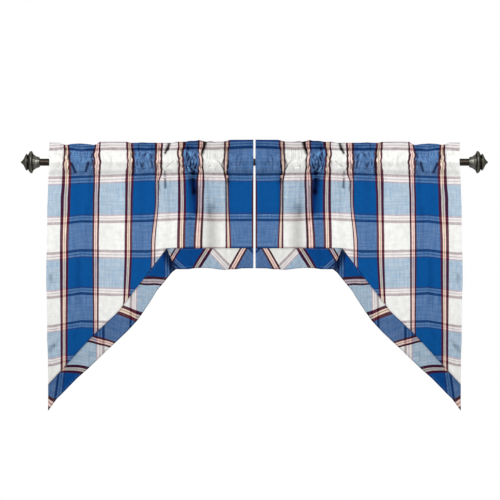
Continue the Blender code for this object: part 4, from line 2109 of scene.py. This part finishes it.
@dataclass
class Studio:
    """The pale floor, the soft lights and the camera."""

    target: tuple[float, float] = (-0.0150, -0.2965)
    frame_width: float = 1.6865
    lens: float = 200.0
    sensor: float = 36.0
    cloth_plane: float = -0.012
    floor_height: float = -2.0
    floor_radius: float = 3.6
    floor_sides: int = 96
    floor_tone: Colour = (0.86, 0.86, 0.86)
    floor_roughness: float = 0.9
    room: float = 0.35
    wall_run: Spread = (0.15, 0.75)
    overhead: float = 0.36
    key_place: Place = (1.9, -1.8, 0.62)
    key_size: float = 0.8
    key_power: float = 4.9
    key_spread: float = 62.0
    key_aim: tuple[float, float] = (0.52, -0.12)
    gloss_place: Place = (0.0, -2.4, 1.25)
    gloss_size: tuple[float, float] = (4.4, 1.7)
    gloss_power: float = 80.0

    def camera(self) -> None:
        """Places the camera square in front of the drape."""
        data = bpy.data.cameras.new("camera")
        data.lens = self.lens
        data.sensor_width = self.sensor
        distance = self.frame_width * self.lens / self.sensor
        camera = bpy.data.objects.new("camera", data)
        camera.location = (self.target[0], self.cloth_plane - distance, self.target[1])
        camera.rotation_euler = (0.5 * math.pi, 0.0, 0.0)
        bpy.context.scene.collection.objects.link(camera)
        bpy.context.scene.camera = camera

    def softbox(self, place: Place, aim: Place) -> None:
        """Hangs a soft light.

        Args:
            place: Where it hangs.
            aim: The point that it faces.
        """
        data = bpy.data.lights.new("softbox", "AREA")
        data.size = self.key_size
        data.energy = self.key_power
        data.spread = math.radians(self.key_spread)
        lamp = bpy.data.objects.new("softbox", data)
        lamp.location = place
        lamp.rotation_euler = (Vector(aim) - Vector(place)).to_track_quat("-Z", "Y").to_euler()
        bpy.context.scene.collection.objects.link(lamp)

    def gloss_box(self) -> None:
        """Hangs the wide softbox whose only work is the soft line of gloss on the bronze."""
        data = bpy.data.lights.new("gloss box", "AREA")
        data.shape = "RECTANGLE"
        data.size, data.size_y = self.gloss_size
        data.energy = self.gloss_power
        lamp = bpy.data.objects.new("gloss box", data)
        lamp.location = self.gloss_place
        lamp.rotation_euler = Vector(self.gloss_place).to_track_quat("Z", "Y").to_euler()
        lamp.visible_diffuse = False
        lamp.visible_camera = False
        bpy.context.scene.collection.objects.link(lamp)

    def light_room(self) -> None:
        """Lights the room: a white wall behind the drape and dimmer walls in front of it."""
        world = bpy.data.worlds.new("studio")
        world.use_nodes = True
        sketch = NodeSketch(world)
        split = sketch.add("ShaderNodeSeparateXYZ")
        way = sketch.add("ShaderNodeTexCoord").outputs["Generated"]
        sketch.join(way, split.inputs[0])
        wall = sketch.add("ShaderNodeMapRange", interpolation_type="SMOOTHSTEP",
                          in_1=self.wall_run[0], in_2=self.wall_run[1], in_3=self.room, in_4=1.0)
        sketch.join(split.outputs["Y"], wall.inputs[0])
        above = sketch.math("MULTIPLY_ADD", split.outputs["Z"], self.overhead, wall.outputs[0])
        level = sketch.math("MAXIMUM", wall.outputs[0], sketch.math("MINIMUM", above, 1.0))
        background = world.node_tree.nodes["Background"]
        background.inputs["Color"].default_value = (1.0, 1.0, 1.0, 1.0)
        sketch.join(level, background.inputs["Strength"])
        bpy.context.scene.world = world

    def build(self) -> None:
        """Builds the studio."""
        sketch, shader = new_material("pale floor")
        shader.inputs["Base Color"].default_value = (*self.floor_tone, 1.0)
        shader.inputs["Roughness"].default_value = self.floor_roughness
        bm = bmesh.new()
        bmesh.ops.create_circle(bm, segments=self.floor_sides, radius=self.floor_radius,
                                cap_ends=True,
                                matrix=Matrix.Translation((0.0, 0.0, self.floor_height)))
        floor = new_piece("floor", bm, sketch.owner)
        self.light_room()
        for side in (-1.0, 1.0):
            self.softbox((side * self.key_place[0], *self.key_place[1:]),
                         (self.key_aim[0] * side, 0.0, self.key_aim[1]))
        self.gloss_box()
        self.camera()
        bpy.context.scene.view_settings.view_transform = "Standard"


def main() -> None:
    """Builds every piece of the drape and the studio round it."""
    logging.basicConfig(level=logging.INFO, format="%(name)s: %(message)s")
    bronze = BronzeFinish("dark bronze").make()
    plaid = PlaidFinish("plaid cotton").make()
    bias_plaid = PlaidFinish("bias cut plaid cotton").make()
    thread = ThreadFinish("sewing thread").make()
    rod = Rod().build(bronze)
    LOG.info("%s is in place", rod.name)
    for side, word in SIDES:
        finial = Finial(side, word).build(bronze)
        LOG.info("%s is in place", finial.name)
        panel = Panel(side, word).build(plaid, thread)
        LOG.info("%s is in place, %d points", panel.name, len(panel.data.vertices))
        for run in BandRun:
            band = BiasBand(side, word, run).build(bias_plaid, thread, panel)
            LOG.info("%s is in place, %d points", band.name, len(band.data.vertices))
    Studio().build()


if __name__ == "__main__":
    main()
